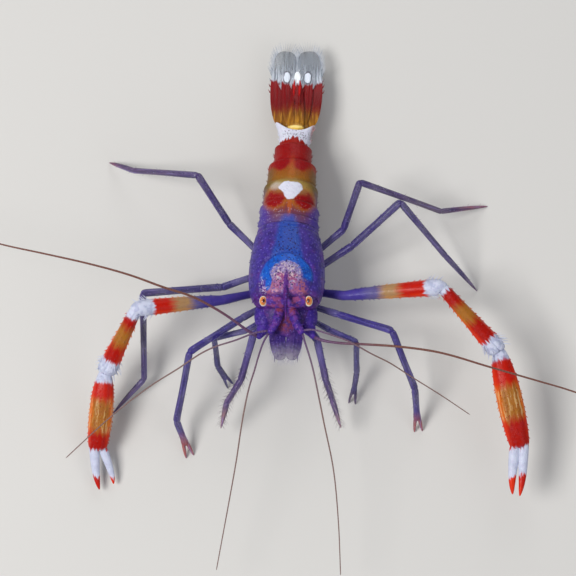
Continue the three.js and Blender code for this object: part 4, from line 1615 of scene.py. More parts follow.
@dataclass
class Abdomen:
    """Six overlapping tergites, the middle ones with a pair of swimming paddles.

    Attributes:
        profile: Shares of a somite's length, and of its size there.
        first_knot: The body line's knot where the first one starts.
        first_rough: The first one with grains on its back, counted from 0.
    """

    room: Workroom
    somites: tuple[Somite, ...] = (
        Somite((3.05, 3), (2.85, 2.85), (2.5, 2.7)),
        Somite((3.08, 2.93), (2.87, 2.8), (2.7, 2.6), paddle=0.6),
        Somite((2.86, 2.68), (2.78, 2.45), (2.6, 2.3), paddle=0.6),
        Somite((2.62, 2.36), (2.45, 2.02), (2.3, 1.9), paddle=0.55),
        Somite((2, 1.86), (1.95, 1.5), (1.9, 1.4), paddle=0.5),
        Somite((1.6, 1.86), (1.46, 1.08), (1.4, 1), waist=0.1),
    )
    profile: Pairs = (
        (-0.22, 0.72), (-0.12, 0.88), (0, 0.94), (0.1, 0.965), (0.22, 0.985), (0.5, 1),
        (0.8, 1.02), (0.96, 1.045), (1.03, 1.035), (1.035, 0.96), (0.95, 0.86),
    )
    first_knot: int = 2
    first_rough: int = 2
    stem_length: float = 0.75
    leaf_length: float = 1.15

    def build(self) -> None:
        """Makes each somite with its thorns and paddles."""
        for number, somite in enumerate(self.somites):
            self.build_somite(number, somite)

    def build_somite(self, number: int, somite: Somite) -> None:
        """Makes one somite.

        Args:
            number: Which one it is, counted from 0 at the front.
            somite: Its sizes.
        """
        knot = self.first_knot + number
        start, end = BODY.run_at(knot), BODY.run_at(knot + 1)
        half, below = somite.half[0], somite.below[0]
        rings = []
        for share, k in self.profile:
            t = min(max(share, 0), 1)
            k *= 1 - somite.waist * math.sin(math.pi * t)
            sizes = ((a + (b - a) * t) * k for a, b in (somite.half, somite.above, somite.below))
            rings.append(BODY.ring(BODY.run_at(knot + share), *sizes))

        def relief(lie: np.ndarray) -> np.ndarray:
            """Returns the hollow of the underside, the flare of the side lobes and the hinge groove.

            Args:
                lie: One row each: mm across, along and above.
            """
            across, run, rise = np.abs(lie[:, 0]), lie[:, 1], lie[:, 2]
            share = (run - start) / (end - start)
            inner = smooth_step(1.35 - across / (half * 0.62))
            hollow = -0.42 * below * inner * smooth_step((-rise - 0.35 * below) / (0.4 * below))
            lobe = 0.1 * smooth_step(-rise / below) * hump(share, 0.6, 0.35)
            groove = -0.06 * hump(share, 0.14, 0.05) * (rise > -0.5 * below)
            corner = smooth_step((share - 0.75) / 0.25) * smooth_step(across / half - 0.5)
            return hollow + lobe + groove + 2.2 * somite.waist * corner

        shell = Form.drawn(f"abdomen_{number + 1}_tergite", rings, 24).carve(BODY, relief)
        if somite.waist:
            points = shell.read()
            across, run, rise = BODY.lie(points).T
            near = smooth_step(((run - start) / (end - start) - 0.45) / 0.5) * (rise > -0.5)
            points[:, 1] += near * (0.9 * (across / 1.9) ** 2 - 0.5)
            shell.move(points)
        count, size = (8, (0.3, 0.6, 0.075)) if somite.waist else (10, (0.14, 0.3, 0.05))
        grown = []
        for angles in ((-40, 12), (168, 220)):
            grown += self.room.row(shell, BODY, (start + (end - start) * 0.25, end), angles, count, size, 1.1)
        if number >= self.first_rough:
            runs = (start + (end - start) * 0.3, start + (end - start) * 0.98)
            grown += self.room.row(shell, BODY, runs, (20, 160), 22, (0.08, 0.15, 0.035), 1.4)
        if somite.paddle:
            for side in Side:
                grown += self.paddle(knot, side, somite)
        self.room.settle(shell, grown, BODY, BandedShell(), Slot.ABDOMEN, f"abdomen_{number + 1}")

    def paddle(self, knot: int, side: Side, somite: Somite) -> list[Form]:
        """Returns a swimming paddle: a short stem with two fringed leaves.

        Args:
            knot: The body line's knot where its somite starts.
            side: Its side.
            somite: Its somite's sizes.
        """
        root = BODY.point(BODY.run_at(knot + 0.42))
        root += Vector((side.sign * somite.half[0] * 0.42, 0, -somite.below[0] * 0.5))
        out = heading(side, 80, -74)
        knee = root + out * self.stem_length
        limb = Limb([root, knee])
        radii = (somite.paddle * 0.62, somite.paddle * 0.7)
        stem = Form.drawn("paddle_stem", limb.articles(0, radii, 0.6), 8, 1)
        finish = LegCuticle("clear_violet_paddle", "#4A3C90", "#6A5EA0", "#847CB0", 6, 0.9)
        self.room.dress(stem, limb.lie(stem.read()), finish)
        grown = [stem]
        hair = Bristle("clear_paddle_fringe", "#8C86B4", "#B8B4D0")
        for turn in (-1, 1):
            tip = knee + out * self.leaf_length + Vector((turn * 0.26, 0.1 * turn + 0.1, 0))
            bow = knee.lerp(tip, 0.5) + Vector((turn * 0.1, 0.08, 0))
            leaf = Blade("paddle_leaf", (knee, bow, tip), somite.paddle * 0.5, 0.1)
            form = leaf.form(8, 1)
            self.room.dress(form, leaf.lie(form.read()), finish)
            grown += [form, *leaf.fringe(self.room, 0.3, 14, (0.3, 0.5), hair, 0.02)]
        return grown


@dataclass
class TailFan:
    """The telson over two pairs of uropods; every blade's bands are measured along the telson's line.

    Attributes:
        telson: Its middle line, root to tip.
        endopod: How far out the inner blade lies and where, root to tip, mm.
        exopod: The same for the outer blade.
        ridge: How far the telson's ridges stand from its middle, and their height, mm.
        knob: The runs of a blade's rounded hinge and shares of its half-width and height.
    """

    room: Workroom
    telson: Points = ((0.87, 17.55, 4), (0.93, 19.4, 3.72), (1.1, 23.95, 2.95))
    endopod: tuple[tuple[float, Point], ...] = (
        (0.75, (0.9, 17.9, 3.55)), (0.98, (1, 21, 3.15)), (1.08, (1.07, 24.15, 2.55)),
    )
    exopod: tuple[tuple[float, Point], ...] = (
        (0.9, (0.87, 17.75, 3.25)), (1.36, (0.93, 20.6, 2.9)), (1.4, (1, 23, 2.45)), (1.1, (1.1, 26.5, 1.8)),
    )
    telson_half: float = 0.86
    telson_thick: float = 0.2
    ridge: Pair = (0.3, 0.09)
    endopod_half: float = 0.64
    exopod_half: float = 1.3
    uropod_thick: float = 0.1
    telson_widths: Pairs = (
        (0, 0.8), (0.03, 0.95), (0.08, 1.03), (0.2, 1.06), (0.35, 1), (0.55, 0.84), (0.7, 0.7),
        (0.84, 0.54), (0.93, 0.42), (0.98, 0.28), (1, 0.16),
    )
    exopod_widths: Pairs = (
        (0, 0.45), (0.04, 0.7), (0.1, 0.9), (0.2, 1), (0.36, 1.03), (0.55, 1.02), (0.72, 0.98),
        (0.84, 0.95), (0.92, 0.86), (0.97, 0.68), (1, 0.4),
    )
    knob: Pairs = ((-0.5, 0.4), (-0.35, 0.75), (-0.1, 0.97), (0.15, 1), (0.45, 0.85), (0.8, 0.5))
    hair: Bristle = Bristle("clear_tail_fringe", "#A8B0BE", "#CCD2DC")
    line: Course = field(init=False)

    def build(self) -> None:
        """Makes the telson, then each side's inner and outer blade."""
        self.line = Course(self.telson)
        self.build_telson()
        for side in Side:
            self.build_endopod(side)
            self.build_exopod(side)

    def build_telson(self) -> None:
        """Makes the telson: a long wedge with two ridges that end in spines."""
        away, tall = self.ridge
        ribs = ((-away, tall), (away, tall))
        blade = Blade(
            "telson_plate", self.telson, self.telson_half, self.telson_thick, ribs, self.telson_widths
        )
        form = blade.form()
        spots = []
        for side in (-1, 1):
            spots += [blade.spot(run, side * away, 0.25, 0.3, 0.6, 0.11) for run in (1.4, 2.6, 3.8, 4.9)]
            for run, out in ((4.2, 0.62), (5.6, 0.42)):
                spots.append(blade.spot(run, side * out, 0, 0.4, 0.4, 0.06))
        grown = self.room.thorn.grow("telson_spines", spots)
        grown += [self.hinge(self.line, 0.95, 0.46), *blade.fringe(self.room, 0.7, 34, (0.4, 0.7), self.hair)]
        self.room.settle(form, grown, self.line, FanBlade("moist_tail_chitin"), Slot.FAN, "telson")

    def hinge(self, course: Course, half: float, tall: float) -> Form:
        """Returns the rounded hinge round the start of a blade's line; half-width and height in mm."""
        return Form.drawn("blade_root", [course.ring(run, half * k, tall * k) for run, k in self.knob], 12)

    def build_endopod(self, side: Side) -> None:
        """Makes the inner blade of a uropod.

        Args:
            side: Its side.
        """
        knots = [(x + side.sign * out, y, z) for out, (x, y, z) in self.endopod]
        ribs = ((-0.12, 0.05), (0.14, 0.05))
        name = f"uropod_endopod_{side.value}"
        leaf = Blade(f"{name}_blade", knots, self.endopod_half, self.uropod_thick, ribs)
        form = leaf.form(20)
        grown = leaf.fringe(self.room, 0.66, 60, (0.5, 0.8), self.hair, 0.024)
        self.room.settle(form, grown, self.line, FanBlade("moist_tail_chitin"), Slot.FAN, name)

    def build_exopod(self, side: Side) -> None:
        """Makes the outer blade of a uropod, with teeth on its outer edge.

        Args:
            side: Its side.
        """
        knots = [(x + side.sign * out, y, z) for out, (x, y, z) in self.exopod]
        ribs = [(side.sign * across, tall) for across, tall in ((0.45, 0.04), (0.15, 0.04), (-0.25, 0.03))]
        name = f"uropod_exopod_{side.value}"
        leaf = Blade(f"{name}_blade", knots, self.exopod_half, self.uropod_thick, ribs, self.exopod_widths)
        form = leaf.form(20)
        spots = []
        for share in (0.46, 0.53, 0.6, 0.67, 0.74):
            width = leaf.width_at(share) * 0.98 * side.sign
            spots.append(leaf.spot(leaf.length * share, width, 0, 0.5, 0.42, 0.07))
        grown = self.room.thorn.grow("exopod_teeth", spots)
        grown.append(self.hinge(leaf, 0.55, 0.42))
        grown += leaf.fringe(self.room, 0.66, 130, (0.8, 1.25), self.hair, 0.024)
        finish = FanBlade("clear_tail_chitin", solid=False)
        self.room.settle(form, grown, self.line, finish, Slot.FAN, name)


# ---- limbs ----


class Tip(Enum):
    """How a walking leg ends."""

    HOOK = "a sharp curved toe"
    PINCER = "a slim pincer"


@dataclass(frozen=True)
class LegPlan:
    """A pair of walking legs: the hip of the left one, half-thickness and the articles of each side.

    Attributes:
        bend: How far from a joint its bend starts, mm.
    """

    name: str
    hip: Point
    thick: float
    left: tuple[Turn, ...]
    right: tuple[Turn, ...]
    tip: Tip
    finish: LegCuticle
    bend: float = 1.0

    def joints(self, side: Side) -> list[Vector]:
        """Returns a leg's joints, its last article tilted until the toe's middle is at the floor.

        Args:
            side: Its side.
        """
        turns = self.left if side is Side.LEFT else self.right
        joints = joints_of(self.hip, turns, side)
        length, yaw, _ = turns[-1]
        drop = joints[-2].z - WalkingLegs.toe_height
        pitch = -math.degrees(math.asin(min(drop / length, 0.98)))
        joints[-1] = joints[-2] + heading(side, yaw, pitch) * length
        return joints


@dataclass
class WalkingLeg:
    """One walking leg, in two pieces that are parted at the knee.

    Attributes:
        finger: Shares of a pincer finger's length and radius.
        slim: The greatest half-thickness of a slim leg, mm.
        small_palm: The length of a pincer's fingers on a slim leg, mm.
        large_palm: The same on a thicker one.
        limb: Its line from the hip to the toe.
    """

    room: Workroom
    plan: LegPlan
    side: Side
    finger: Pairs = ((0, 0.85), (0.1, 1), (0.4, 0.95), (0.75, 0.7), (0.93, 0.4), (1, 0.12))
    slim: float = 0.38
    small_palm: float = 1.5
    large_palm: float = 1.7
    limb: Limb = field(init=False)

    def build(self) -> None:
        """Makes its upper and lower piece."""
        self.limb = limb = Limb(self.plan.joints(self.side), bend=self.plan.bend)
        name, t = f"{self.plan.name}_{self.side.value}", self.plan.thick
        row, hair = self.room.row, self.room.bristle
        knee, end = limb.at(2), limb.length
        form = Form.drawn(f"{name}_thigh", limb.articles(0, (t * 0.9, t * 0.98, t)), 10)
        grown = row(form, limb, (2, knee - 0.3), (20, 160), 14, (0.12, 0.22, 0.04), 1)
        grown += row(form, limb, (1, knee), (-180, 180), 16, (0.2, 0.35, 0.018), 0.8, hair)
        self.room.settle(form, grown, limb, self.plan.finish, Slot.LEG, f"{name}_upper")
        if self.plan.tip is Tip.HOOK:
            form = Form.drawn(f"{name}_shank", limb.articles(2, (t * 0.92, t * 0.76, 0.26), toe=True), 10)
            grown = self.claw()
        else:
            palm = end - (self.large_palm if t > self.slim else self.small_palm)
            form = Form.drawn(f"{name}_shank", self.palm_rings(palm), 10)
            grown = self.pincer(palm)
        grown += row(form, limb, (knee + 0.6, end - 0.6), (-180, 180), 26, (0.2, 0.4, 0.018), 0.9, hair)
        for one in (form, *grown):
            self.stand(one)
        self.room.settle(form, grown, limb, self.plan.finish, Slot.LEG, f"{name}_lower")

    def stand(self, form: Form) -> None:
        """Presses flat what would pass through the floor.

        Args:
            form: A form of the leg.
        """
        points = form.read()
        points[:, 2] = np.maximum(points[:, 2], -self.room.shift.z)
        form.move(points)

    def palm_rings(self, palm: float) -> list[Ring]:
        """Returns the rings of a shank that ends in a palm, cut from a whole shank.

        Args:
            palm: The run where the palm ends, mm.
        """
        limb, thick = self.limb, self.plan.thick
        rings = limb.articles(2, (thick * 0.95, thick * 0.95, thick * 0.8))
        last = limb.point(palm)
        kept = [ring for ring in rings if (ring.centre - last).dot(ring.along) < -0.5]
        ends = ((-0.5, 0.98), (0, 1.05), (0.15, 0.7))
        return kept + [limb.ring(palm + step, thick * k, thick * k * 0.8) for step, k in ends]

    def claw(self) -> list[Form]:
        """Returns the second, smaller claw beside the toe's tip."""
        limb, run = self.limb, self.limb.length - 0.8
        above = limb.axes(run).col[1]
        spot = Spot(limb.point(run) - above * 0.05, limb.along(run) - above * 0.3, 0.5, 0.1)
        return self.room.thorn.grow("toe_claw", [spot])

    def pincer(self, palm: float) -> list[Form]:
        """Returns the two slim fingers of the pincer, standing a little open.

        Args:
            palm: The run where they start, mm.
        """
        limb, radius = self.limb, self.plan.thick * 0.52
        start, tip = limb.point(palm), limb.point(limb.length)
        fingers = []
        for turn in (-1, 1):
            gap = limb.axes(palm).col[0] * turn * radius
            root = start - limb.along(palm) * 0.15 + gap * 0.85
            course = Course((root, start.lerp(tip, 0.5) + gap * 1.5, tip + gap * 1.9))
            rings = course.rings((share, radius * k) for share, k in self.finger)
            fingers.append(Form.drawn("pincer_finger", rings, 8, 1))
        return fingers


@dataclass
class WalkingLegs:
    """The slender legs that the animal stands on.

    Attributes:
        toe_height: How high a toe's middle is above the floor, mm.
    """

    room: Workroom
    toe_height: float = 0.028
    plans: tuple[LegPlan, ...] = (
        LegPlan(
            "pereiopod_1", (1.9, -2.3, 4.7), 0.35,
            ((2.8, -30, 6), (3.4, -31, 28), (4.3, -86, -56), (4.1, -99, -44)),
            ((2.5, -34, 7), (3.5, -17, 10), (3.5, -96, -49), (3.6, -128, -51)),
            Tip.PINCER,
            LegCuticle("clear_grey_blue_chitin", "#3E3688", "#504A80", "#7C6480", 14.6, 0.76), 1.8,
        ),
        LegPlan(
            "pereiopod_2", (2.1, -1, 4.4), 0.41,
            ((3.5, -22, 23), (6.3, -23, 24), (7, -64, -37), (5.6, -82, -46)),
            ((3.2, -34, 26), (7, -38, 22), (8.2, -76, -41), (4.6, -111, -37)),
            Tip.PINCER,
            LegCuticle("clear_violet_chitin", "#3A2C8C", "#483C82", "#A85A58", 22.6, 0.78), 2.2,
        ),
        LegPlan(
            "pereiopod_4", (2.4, 2.4, 3.8), 0.43,
            ((5.1, 31, 18), (6.8, 38, 26), (7.9, -43, -35), (5.9, -40, -38)),
            ((4.6, -22, 15), (8.2, -8, 14), (9.2, -89, -32), (5, -45, -24)),
            Tip.HOOK,
            LegCuticle("clear_blue_violet_chitin", "#40347A", "#504476", "#6A5476", 26, 0.76),
        ),
        LegPlan(
            "pereiopod_5", (2.3, 4, 3.6), 0.41,
            ((4.6, 38, 21), (5.3, 68, 32), (10.1, -11, -32), (5.8, 13, -25)),
            ((5.1, 42, 21), (6, 54, 26), (8.5, 15, -35), (4.5, 31, -40)),
            Tip.HOOK,
            LegCuticle("clear_dusky_violet_chitin", "#423474", "#5C466E", "#90586A", 24.5, 0.76),
        ),
    )

    def build(self) -> None:
        """Makes every leg."""
        for plan in self.plans:
            for side in Side:
                WalkingLeg(self.room, plan, side).build()


@dataclass
class Maxillipeds:
    """The bristly outer feeding limbs, held forward under the head.

    Attributes:
        brushes: The angles, bristles and count of each brush.
    """

    room: Workroom
    hip: Point = (2.2, -3.5, 5.3)
    radii: tuple[float, ...] = (0.38, 0.42, 0.38, 0.34, 0.22)
    left: tuple[Turn, ...] = ((1.6, -59, 11), (4.3, -78, 5), (2.2, -69, -39), (3.4, -71, -32))
    right: tuple[Turn, ...] = ((1.4, -33, 13), (4.9, -75, 5), (3, -55, -33), (3, -75, -36))
    pale: Bristle = Bristle("pale_bristle", "#B4A8B8", "#D4CCD4", 0.85)
    dark: Bristle = Bristle("dark_bristle", "#3A2A3C", "#5A4450", 0.85)
    brushes: tuple[tuple[Pair, Bristle, int], ...] = (
        ((-60, 60), dark, 50), ((120, 240), dark, 50), ((-150, -30), pale, 60), ((0, 180), pale, 24),
    )

    def build(self) -> None:
        """Makes both limbs with their brushes."""
        finish = LegCuticle("bristly_violet_chitin", "#42347E", "#6A5480", "#94727C", 11)
        for side in Side:
            turns = self.left if side is Side.LEFT else self.right
            limb = Limb(joints_of(self.hip, turns, side), bow=0.01, bend=0.6)
            end = limb.at(4)
            form = Form.drawn(f"maxilliped_{side.value}_limb", limb.articles(0, self.radii, toe=True), 10)
            grown = self.room.row(form, limb, (2.2, end * 0.62), (20, 160), 10, (0.25, 0.4, 0.05), 0.9)
            for angles, hair, count in self.brushes:
                runs, size = (end * 0.42, end * 0.98), (0.4, 0.9, 0.017)
                brush = self.room.row(form, limb, runs, angles, count, size, 0.9, self.room.bristle)
                for one in brush:
                    self.room.dress(one, limb.lie(one.read()), hair)
                grown += brush
            self.room.settle(form, grown, limb, finish, Slot.LEG, f"maxilliped_{side.value}")


@dataclass(frozen=True)
class ArmPlan:
    """One great arm: its articles, its fingers and where its colour bands fall.

    Attributes:
        articles: Its articles from the hip to the knuckle.
        fixed: The fixed finger; moving is the other one.
        palm: Half-widths of palm, wrist article and the two fingers, mm.
        nudges: How far each finger's tip is moved, mm.
        bands: The edges of the colour bands, mm from the hip.
    """

    side: Side
    articles: tuple[Turn, ...]
    fixed: Turn
    moving: Turn
    palm: float
    wrist: float
    fingers: Pair
    nudges: tuple[Point, Point]
    bands: tuple[float, ...]

    def stops(self, first: str, colours: Sequence[str]) -> Stops:
        """Returns colour stops for the bands; a band's edge is sharp next to white and soft elsewhere.

        Args:
            first: The colour before them.
            colours: The colour after each band edge, the fourth one white.
        """
        stops = [(0, first)]
        for edge, before, colour in zip(self.bands, (first, *colours), colours):
            soft = 0.12 if colours[3] in (before, colour) else 0.5
            stops += [(edge - soft, before), (edge + soft, colour)]
        return tuple(stops)

    def finish(self) -> ClawCuticle:
        """Returns the arm's finish."""
        clear, cream, red, white = "#5A5488", "#A07C54", "#B41402", "#C4C9DE"
        amber, deep, sand, bright, gold = "#9C6220", "#A00E02", "#C88A4A", "#D02C02", "#D86610"
        middle = (clear, cream, red, white, deep, amber, deep, white, red, amber, deep, white, red)
        edges = (clear, sand, *((bright, white, bright, gold) * 3)[:11])
        return ClawCuticle(
            f"banded_{self.side.value}_claw_chitin",
            self.stops("#43388C", middle),
            self.stops("#3A2E80", edges),
            self.bands[9:11],
            tuple(zip(self.bands[3::4], self.bands[4::4])),
        )


@dataclass
class GreatClaw:
    """A long arm of the third pair of legs, in four pieces, with its heavy pincer.

    Attributes:
        merus: Shares of the long article's length, and its half-widths and half-heights, mm.
        carpus: Shares of the wrist article's length, half-width and half-height.
        broad: The same for the palm.
        finger: Shares of a finger's length and radius.
        spines: The rows of saw-tooth spines: their angle and shares of the longest spine.
        limb: Its line from the hip to the knuckle.
    """

    room: Workroom
    plan: ArmPlan
    hip: Point = (2.4, 0.5, 3.9)
    merus: Pairs = (
        (0.03, 0.5), (0.07, 0.57), (0.3, 0.67), (0.6, 0.77), (0.85, 0.85), (0.94, 0.85), (0.98, 0.8),
        (1.02, 0.68), (1.04, 0.46),
    )
    carpus: Pairs = (
        (-0.05, 0.44), (0, 0.54), (0.05, 0.6), (0.18, 0.64), (0.4, 0.72), (0.62, 0.83),
        (0.8, 0.94), (0.9, 1), (0.955, 0.98), (0.99, 0.8), (0.99, 0.6),
    )
    broad: Rows = (
        (-0.04, 0.4, 0.34), (0.01, 0.52, 0.42), (0.06, 0.64, 0.52), (0.15, 0.8, 0.64), (0.3, 0.94, 0.74),
        (0.5, 1, 0.78), (0.7, 0.97, 0.74), (0.86, 0.88, 0.66), (0.96, 0.8, 0.58), (1, 0.72, 0.5),
        (1.02, 0.5, 0.34),
    )
    finger: Pairs = (
        (0, 0.9), (0.06, 1.02), (0.2, 1.05), (0.45, 0.9), (0.66, 0.74), (0.82, 0.55), (0.92, 0.36),
        (0.98, 0.18), (1, 0.08),
    )
    spines: Pairs = ((0, 1), (180, 1), (58, 0.6), (122, 0.6), (90, 0.5), (-60, 0.6), (240, 0.6))
    limb: Limb = field(init=False)

    def build(self) -> None:
        """Makes its line and its pieces."""
        self.limb = Limb(joints_of(self.hip, self.plan.articles, self.plan.side), bow=0.01, bend=0.7)
        self.build_merus()
        self.build_carpus()
        self.build_pincer()

    def settle(self, word: str, form: Form, grown: Sequence[Form], half: float) -> None:
        """Settles a piece whose skin is measured across in half-widths.

        Args:
            word: What it is called.
            form: Its main form.
            grown: What grows on it.
            half: Its half-width, mm.
        """
        node = f"cheliped_{word}_{self.plan.side.value}"
        form.object.name = f"{node}_plate"
        self.room.settle(form, grown, self.limb, self.plan.finish(), Slot.CLAW, node, spread=half)

    def article(self, joint: int, shares: Rows, half: float, flat: float = 1.0) -> list[Ring]:
        """Returns one article's rings.

        Args:
            joint: The joint that it starts from.
            shares: Shares of its length, of its half-width and, where given, of its half-height.
            half: Its half-width, mm.
            flat: Its height as a share of its width, where the shares don't give it.
        """
        start, end = self.limb.at(joint), self.limb.at(joint + 1)
        rings = []
        for share, wide, *tall in shares:
            height = half * (tall[0] if tall else wide * flat)
            rings.append(self.limb.ring(start + (end - start) * share, half * wide, height))
        return rings

    def rows(self, form: Form, runs: Pair, count: int, longest: float) -> list[Form]:
        """Grows rows of saw-tooth spines along a piece, the longest ones on its two edges.

        Args:
            form: The piece's form.
            runs: The first and last run, mm.
            count: How many spines a row has.
            longest: The longest one's length, mm.
        """
        grown = []
        for middle, share in self.spines:
            size = (longest * 0.6 * share, longest * share, 0.065)
            grown += self.room.row(form, self.limb, runs, (middle - 5, middle + 5), count, size, 1.2)
        return grown

    def build_merus(self) -> None:
        """Makes the long article from the hip to the wrist joint."""
        limb = self.limb
        knee, end = limb.at(1), limb.at(2)
        rings = limb.articles(0, (0.42, 0.5))[:-2] + self.article(1, self.merus, 1, 0.92)
        form = Form.drawn("merus", rings, 14)
        grown = self.rows(form, (knee + 0.8, end - 0.4), 13, 0.26)
        for angles in ((-35, 15), (165, 215)):
            grown += self.room.row(form, limb, (end - 1.6, end - 0.1), angles, 6, (0.5, 0.9, 0.06), 0.8)
        hairs = ((1, end), (-180, 180), 30, (0.2, 0.4, 0.016), 0.8, self.room.bristle)
        grown += self.room.row(form, limb, *hairs)
        self.settle("merus", form, grown, 0.84)

    def ridged(self, rings: Sequence[Ring], sides: int) -> Form:
        """Returns a form drawn through rings whose every other lengthwise line is raised.

        Args:
            rings: The rings.
            sides: How many sides each has.
        """
        form = Form("ridged", sides)
        form.draw(rings)
        lie = self.limb.lie(form.read())
        turn = np.degrees(np.arctan2(lie[:, 2], lie[:, 0])) / (360 / sides)
        with form.edited():
            form.select(lambda vert: round(turn[vert.index]) % 2 == 0)
            bpy.ops.transform.shrink_fatten(value=0.07)
        return form.smooth(2)

    def build_carpus(self) -> None:
        """Makes the wrist article, ridged and thorny, with a furrow at its end."""
        limb, half = self.limb, self.plan.wrist
        start, end = limb.at(2), limb.at(3)
        form = self.ridged(self.article(2, self.carpus, half, 0.9), 16)

        def furrow(lie: np.ndarray) -> np.ndarray:
            """Returns the depth of the furrow down the end of the article, in mm."""
            across, run, rise = lie.T
            return -0.16 * hump(across, 0, 0.12) * smooth_step(run - end + 2.2) * (rise > 0)

        form.carve(limb, furrow)
        grown = self.rows(form, (start + 0.7, end - 0.4), 10, 0.34)
        for angles in ((-30, 50), (130, 210)):
            grown += self.room.row(form, limb, (end - 1.7, end - 0.25), angles, 7, (0.5, 1, 0.065), 0.8)
        self.settle("carpus", form, grown, half * 0.95)

    def build_pincer(self) -> None:
        """Makes the palm with its fixed finger, and the moving finger."""
        plan, limb = self.plan, self.limb
        start, end = limb.at(3), limb.at(4)
        wrist, knuckle = limb.point(start), limb.point(end)
        out = (knuckle - wrist).normalized()
        away = Vector((-out.y, out.x, 0)).normalized()
        if away.x * plan.side.sign < 0:
            away = -away
        form = self.ridged(self.article(3, self.broad, plan.palm), 18)
        grown = self.rows(form, (start + 0.8, end - 0.3), 14, 0.24)
        fingers = []
        for turn, reach, back, off, bow, finger, radius, nudge in (
            (1, 0.94, 0.9, 0.4, 0.16, plan.fixed, plan.fingers[0], plan.nudges[0]),
            (-1, 1.03, 0.15, 0.38, 0.12, plan.moving, plan.fingers[1], plan.nudges[1]),
        ):
            tip = wrist.lerp(knuckle, reach) + away * plan.palm * 0.48 * turn + Vector(nudge)
            tip += heading(plan.side, *finger[1:]) * finger[0]
            root = knuckle - out * back + away * plan.palm * off * turn
            fingers.append(self.digit(root, tip, away * bow * turn, radius))
        self.settle("palm", form, [*grown, fingers[0]], plan.palm)
        self.settle("finger", fingers[1], (), plan.palm)

    def digit(self, root: Vector, tip: Vector, bow: Vector, radius: float) -> Form:
        """Returns a curved, tapering finger that bows outwards and hooks in at its tip."""
        course = Course((root, root.lerp(tip, 0.35) + bow * 0.8, root.lerp(tip, 0.75) + bow, tip))
        return Form.drawn("finger", course.rings([(share, radius * k) for share, k in self.finger], 0.85), 12)


@dataclass
class GreatClaws:
    """Both great arms."""

    room: Workroom
    plans: tuple[ArmPlan, ...] = (
        ArmPlan(
            Side.LEFT, ((4.3, -16, 36), (10, 2, 15), (8.7, -47, -13), (9.6, -77, -12)),
            (5.1, -95, -6), (4.8, -91, -6), 1.3, 0.98, (0.56, 0.55),
            ((-0.14, -0.66, 0), (-0.17, 0.36, 0)),
            (6.6, 8.2, 10.1, 12.8, 15, 16.8, 18.9, 21.4, 23.9, 26.5, 29.8, 32.7, 35.4),
        ),
        ArmPlan(
            Side.RIGHT, ((5, -19, 30), (9.1, -10, 19), (7.9, -60, -34), (7.9, -83, -24)),
            (4.4, -105, -13), (3.9, -106, -13), 1.2, 1, (0.54, 0.46),
            ((-0.42, -0.45, 0), (0, 0.45, 0)),
            (7.4, 8.5, 10.4, 12.5, 15.2, 16.3, 18.4, 20.3, 22.9, 24.7, 28, 29.9, 32.5),
        ),
    )

    def build(self) -> None:
        """Makes both arms."""
        for plan in self.plans:
            GreatClaw(self.room, plan).build()


# ---- the studio ----


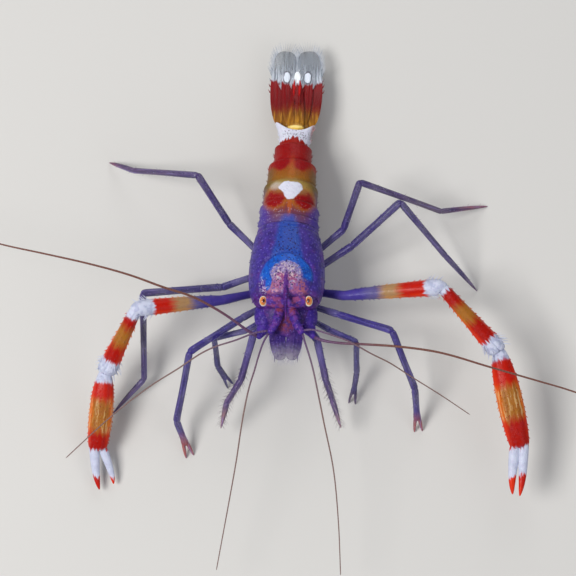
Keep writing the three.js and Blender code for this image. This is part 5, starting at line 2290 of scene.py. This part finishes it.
@dataclass
class Studio:
    """A plain pale floor, soft light and the camera.

    Attributes:
        target: What the camera looks at, mm.
        elevation: How steeply it looks down, degrees.
        distance: How far away it is, mm.
        lens: Its focal length, mm.
        aim: What the lamps face, m.
        lamps: Each lamp's name, place and size in metres, watts and colour.
    """

    room: Workroom
    target: Point = (0.1, 0.0, 8.0)
    elevation: float = 78.0
    distance: float = 280.0
    lens: float = 175.0
    floor_size: float = 1.6
    floor_colour: str = "#CAC9C7"
    sky: Point = (0.86, 0.88, 0.92)
    sky_strength: float = 0.25
    aim: Point = (0, 0, 0.005)
    lamps: tuple[tuple[str, Point, float, float, Point], ...] = (
        ("soft_key", (-0.22, -0.06, 0.34), 0.16, 1.52, (1, 0.98, 0.95)),
        ("soft_fill", (0.26, -0.22, 0.26), 0.3, 0.4, (0.95, 0.97, 1)),
        ("soft_back", (0.05, 0.32, 0.22), 0.25, 0.4, (1, 1, 1)),
    )

    def build(self) -> None:
        """Makes the floor, lights, sky and camera."""
        self.build_floor()
        for lamp in self.lamps:
            self.light(*lamp)
        world = bpy.data.worlds.new("pale_room")
        world.use_nodes = True
        background = world.node_tree.nodes["Background"]
        background.inputs[0].default_value = (*self.sky, 1)
        background.inputs[1].default_value = self.sky_strength
        bpy.context.scene.world = world
        bpy.context.scene.view_settings.view_transform = "Standard"
        self.build_camera()

    def build_floor(self) -> None:
        """Makes the floor, of matt pale paper."""
        bpy.ops.object.select_all(action="DESELECT")
        bpy.ops.mesh.primitive_plane_add(size=self.floor_size)
        floor = bpy.context.object
        floor.name = "studio_floor"
        material = bpy.data.materials.new("matt_pale_paper")
        material.use_nodes = True
        tree = material.node_tree
        tree.nodes.clear()
        shader = put(tree, "BsdfPrincipled", {"Base Color": paint(self.floor_colour), "Roughness": 0.9})[0]
        put(tree, "OutputMaterial", {"Surface": shader})
        floor.data.materials.append(material)

    def light(self, name: str, place: Point, size: float, watts: float, colour: Point) -> None:
        """Adds a square soft light that faces the animal.

        Args:
            name: Its name.
            place: Where it hangs, m.
            size: Its side, m.
            watts: Its power.
            colour: Its linear colour.
        """
        bpy.ops.object.light_add(type="AREA", location=place)
        lamp = bpy.context.object
        lamp.name = name
        lamp.data.size = size
        lamp.data.energy = watts
        lamp.data.color = colour
        lamp.rotation_euler = (Vector(self.aim) - Vector(place)).to_track_quat("-Z", "Y").to_euler()

    def build_camera(self) -> None:
        """Adds the camera, looking down on the animal from its front."""
        target = (Vector(self.target) + self.room.shift) * MM
        tilt = math.radians(self.elevation)
        back = Vector((0, -math.cos(tilt), math.sin(tilt)))
        bpy.ops.object.camera_add(location=target + back * self.distance * MM)
        camera = bpy.context.object
        camera.name = "portrait_camera"
        camera.rotation_euler = (-back).to_track_quat("-Z", "Y").to_euler()
        camera.data.lens = self.lens
        camera.data.sensor_width = 36
        camera.data.clip_start = 0.01
        bpy.context.scene.camera = camera


def main() -> None:
    """Builds the animal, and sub-assembly by sub-assembly."""
    logging.basicConfig(level=logging.INFO, format="%(message)s")
    room = Workroom()
    parts = (Studio, Carapace, Head, Feelers, Thorax, Abdomen, TailFan, WalkingLegs, Maxillipeds, GreatClaws)
    for part in parts:
        LOG.info("building %s", part.__name__)
        part(room).build()


if __name__ == "__main__":
    main()
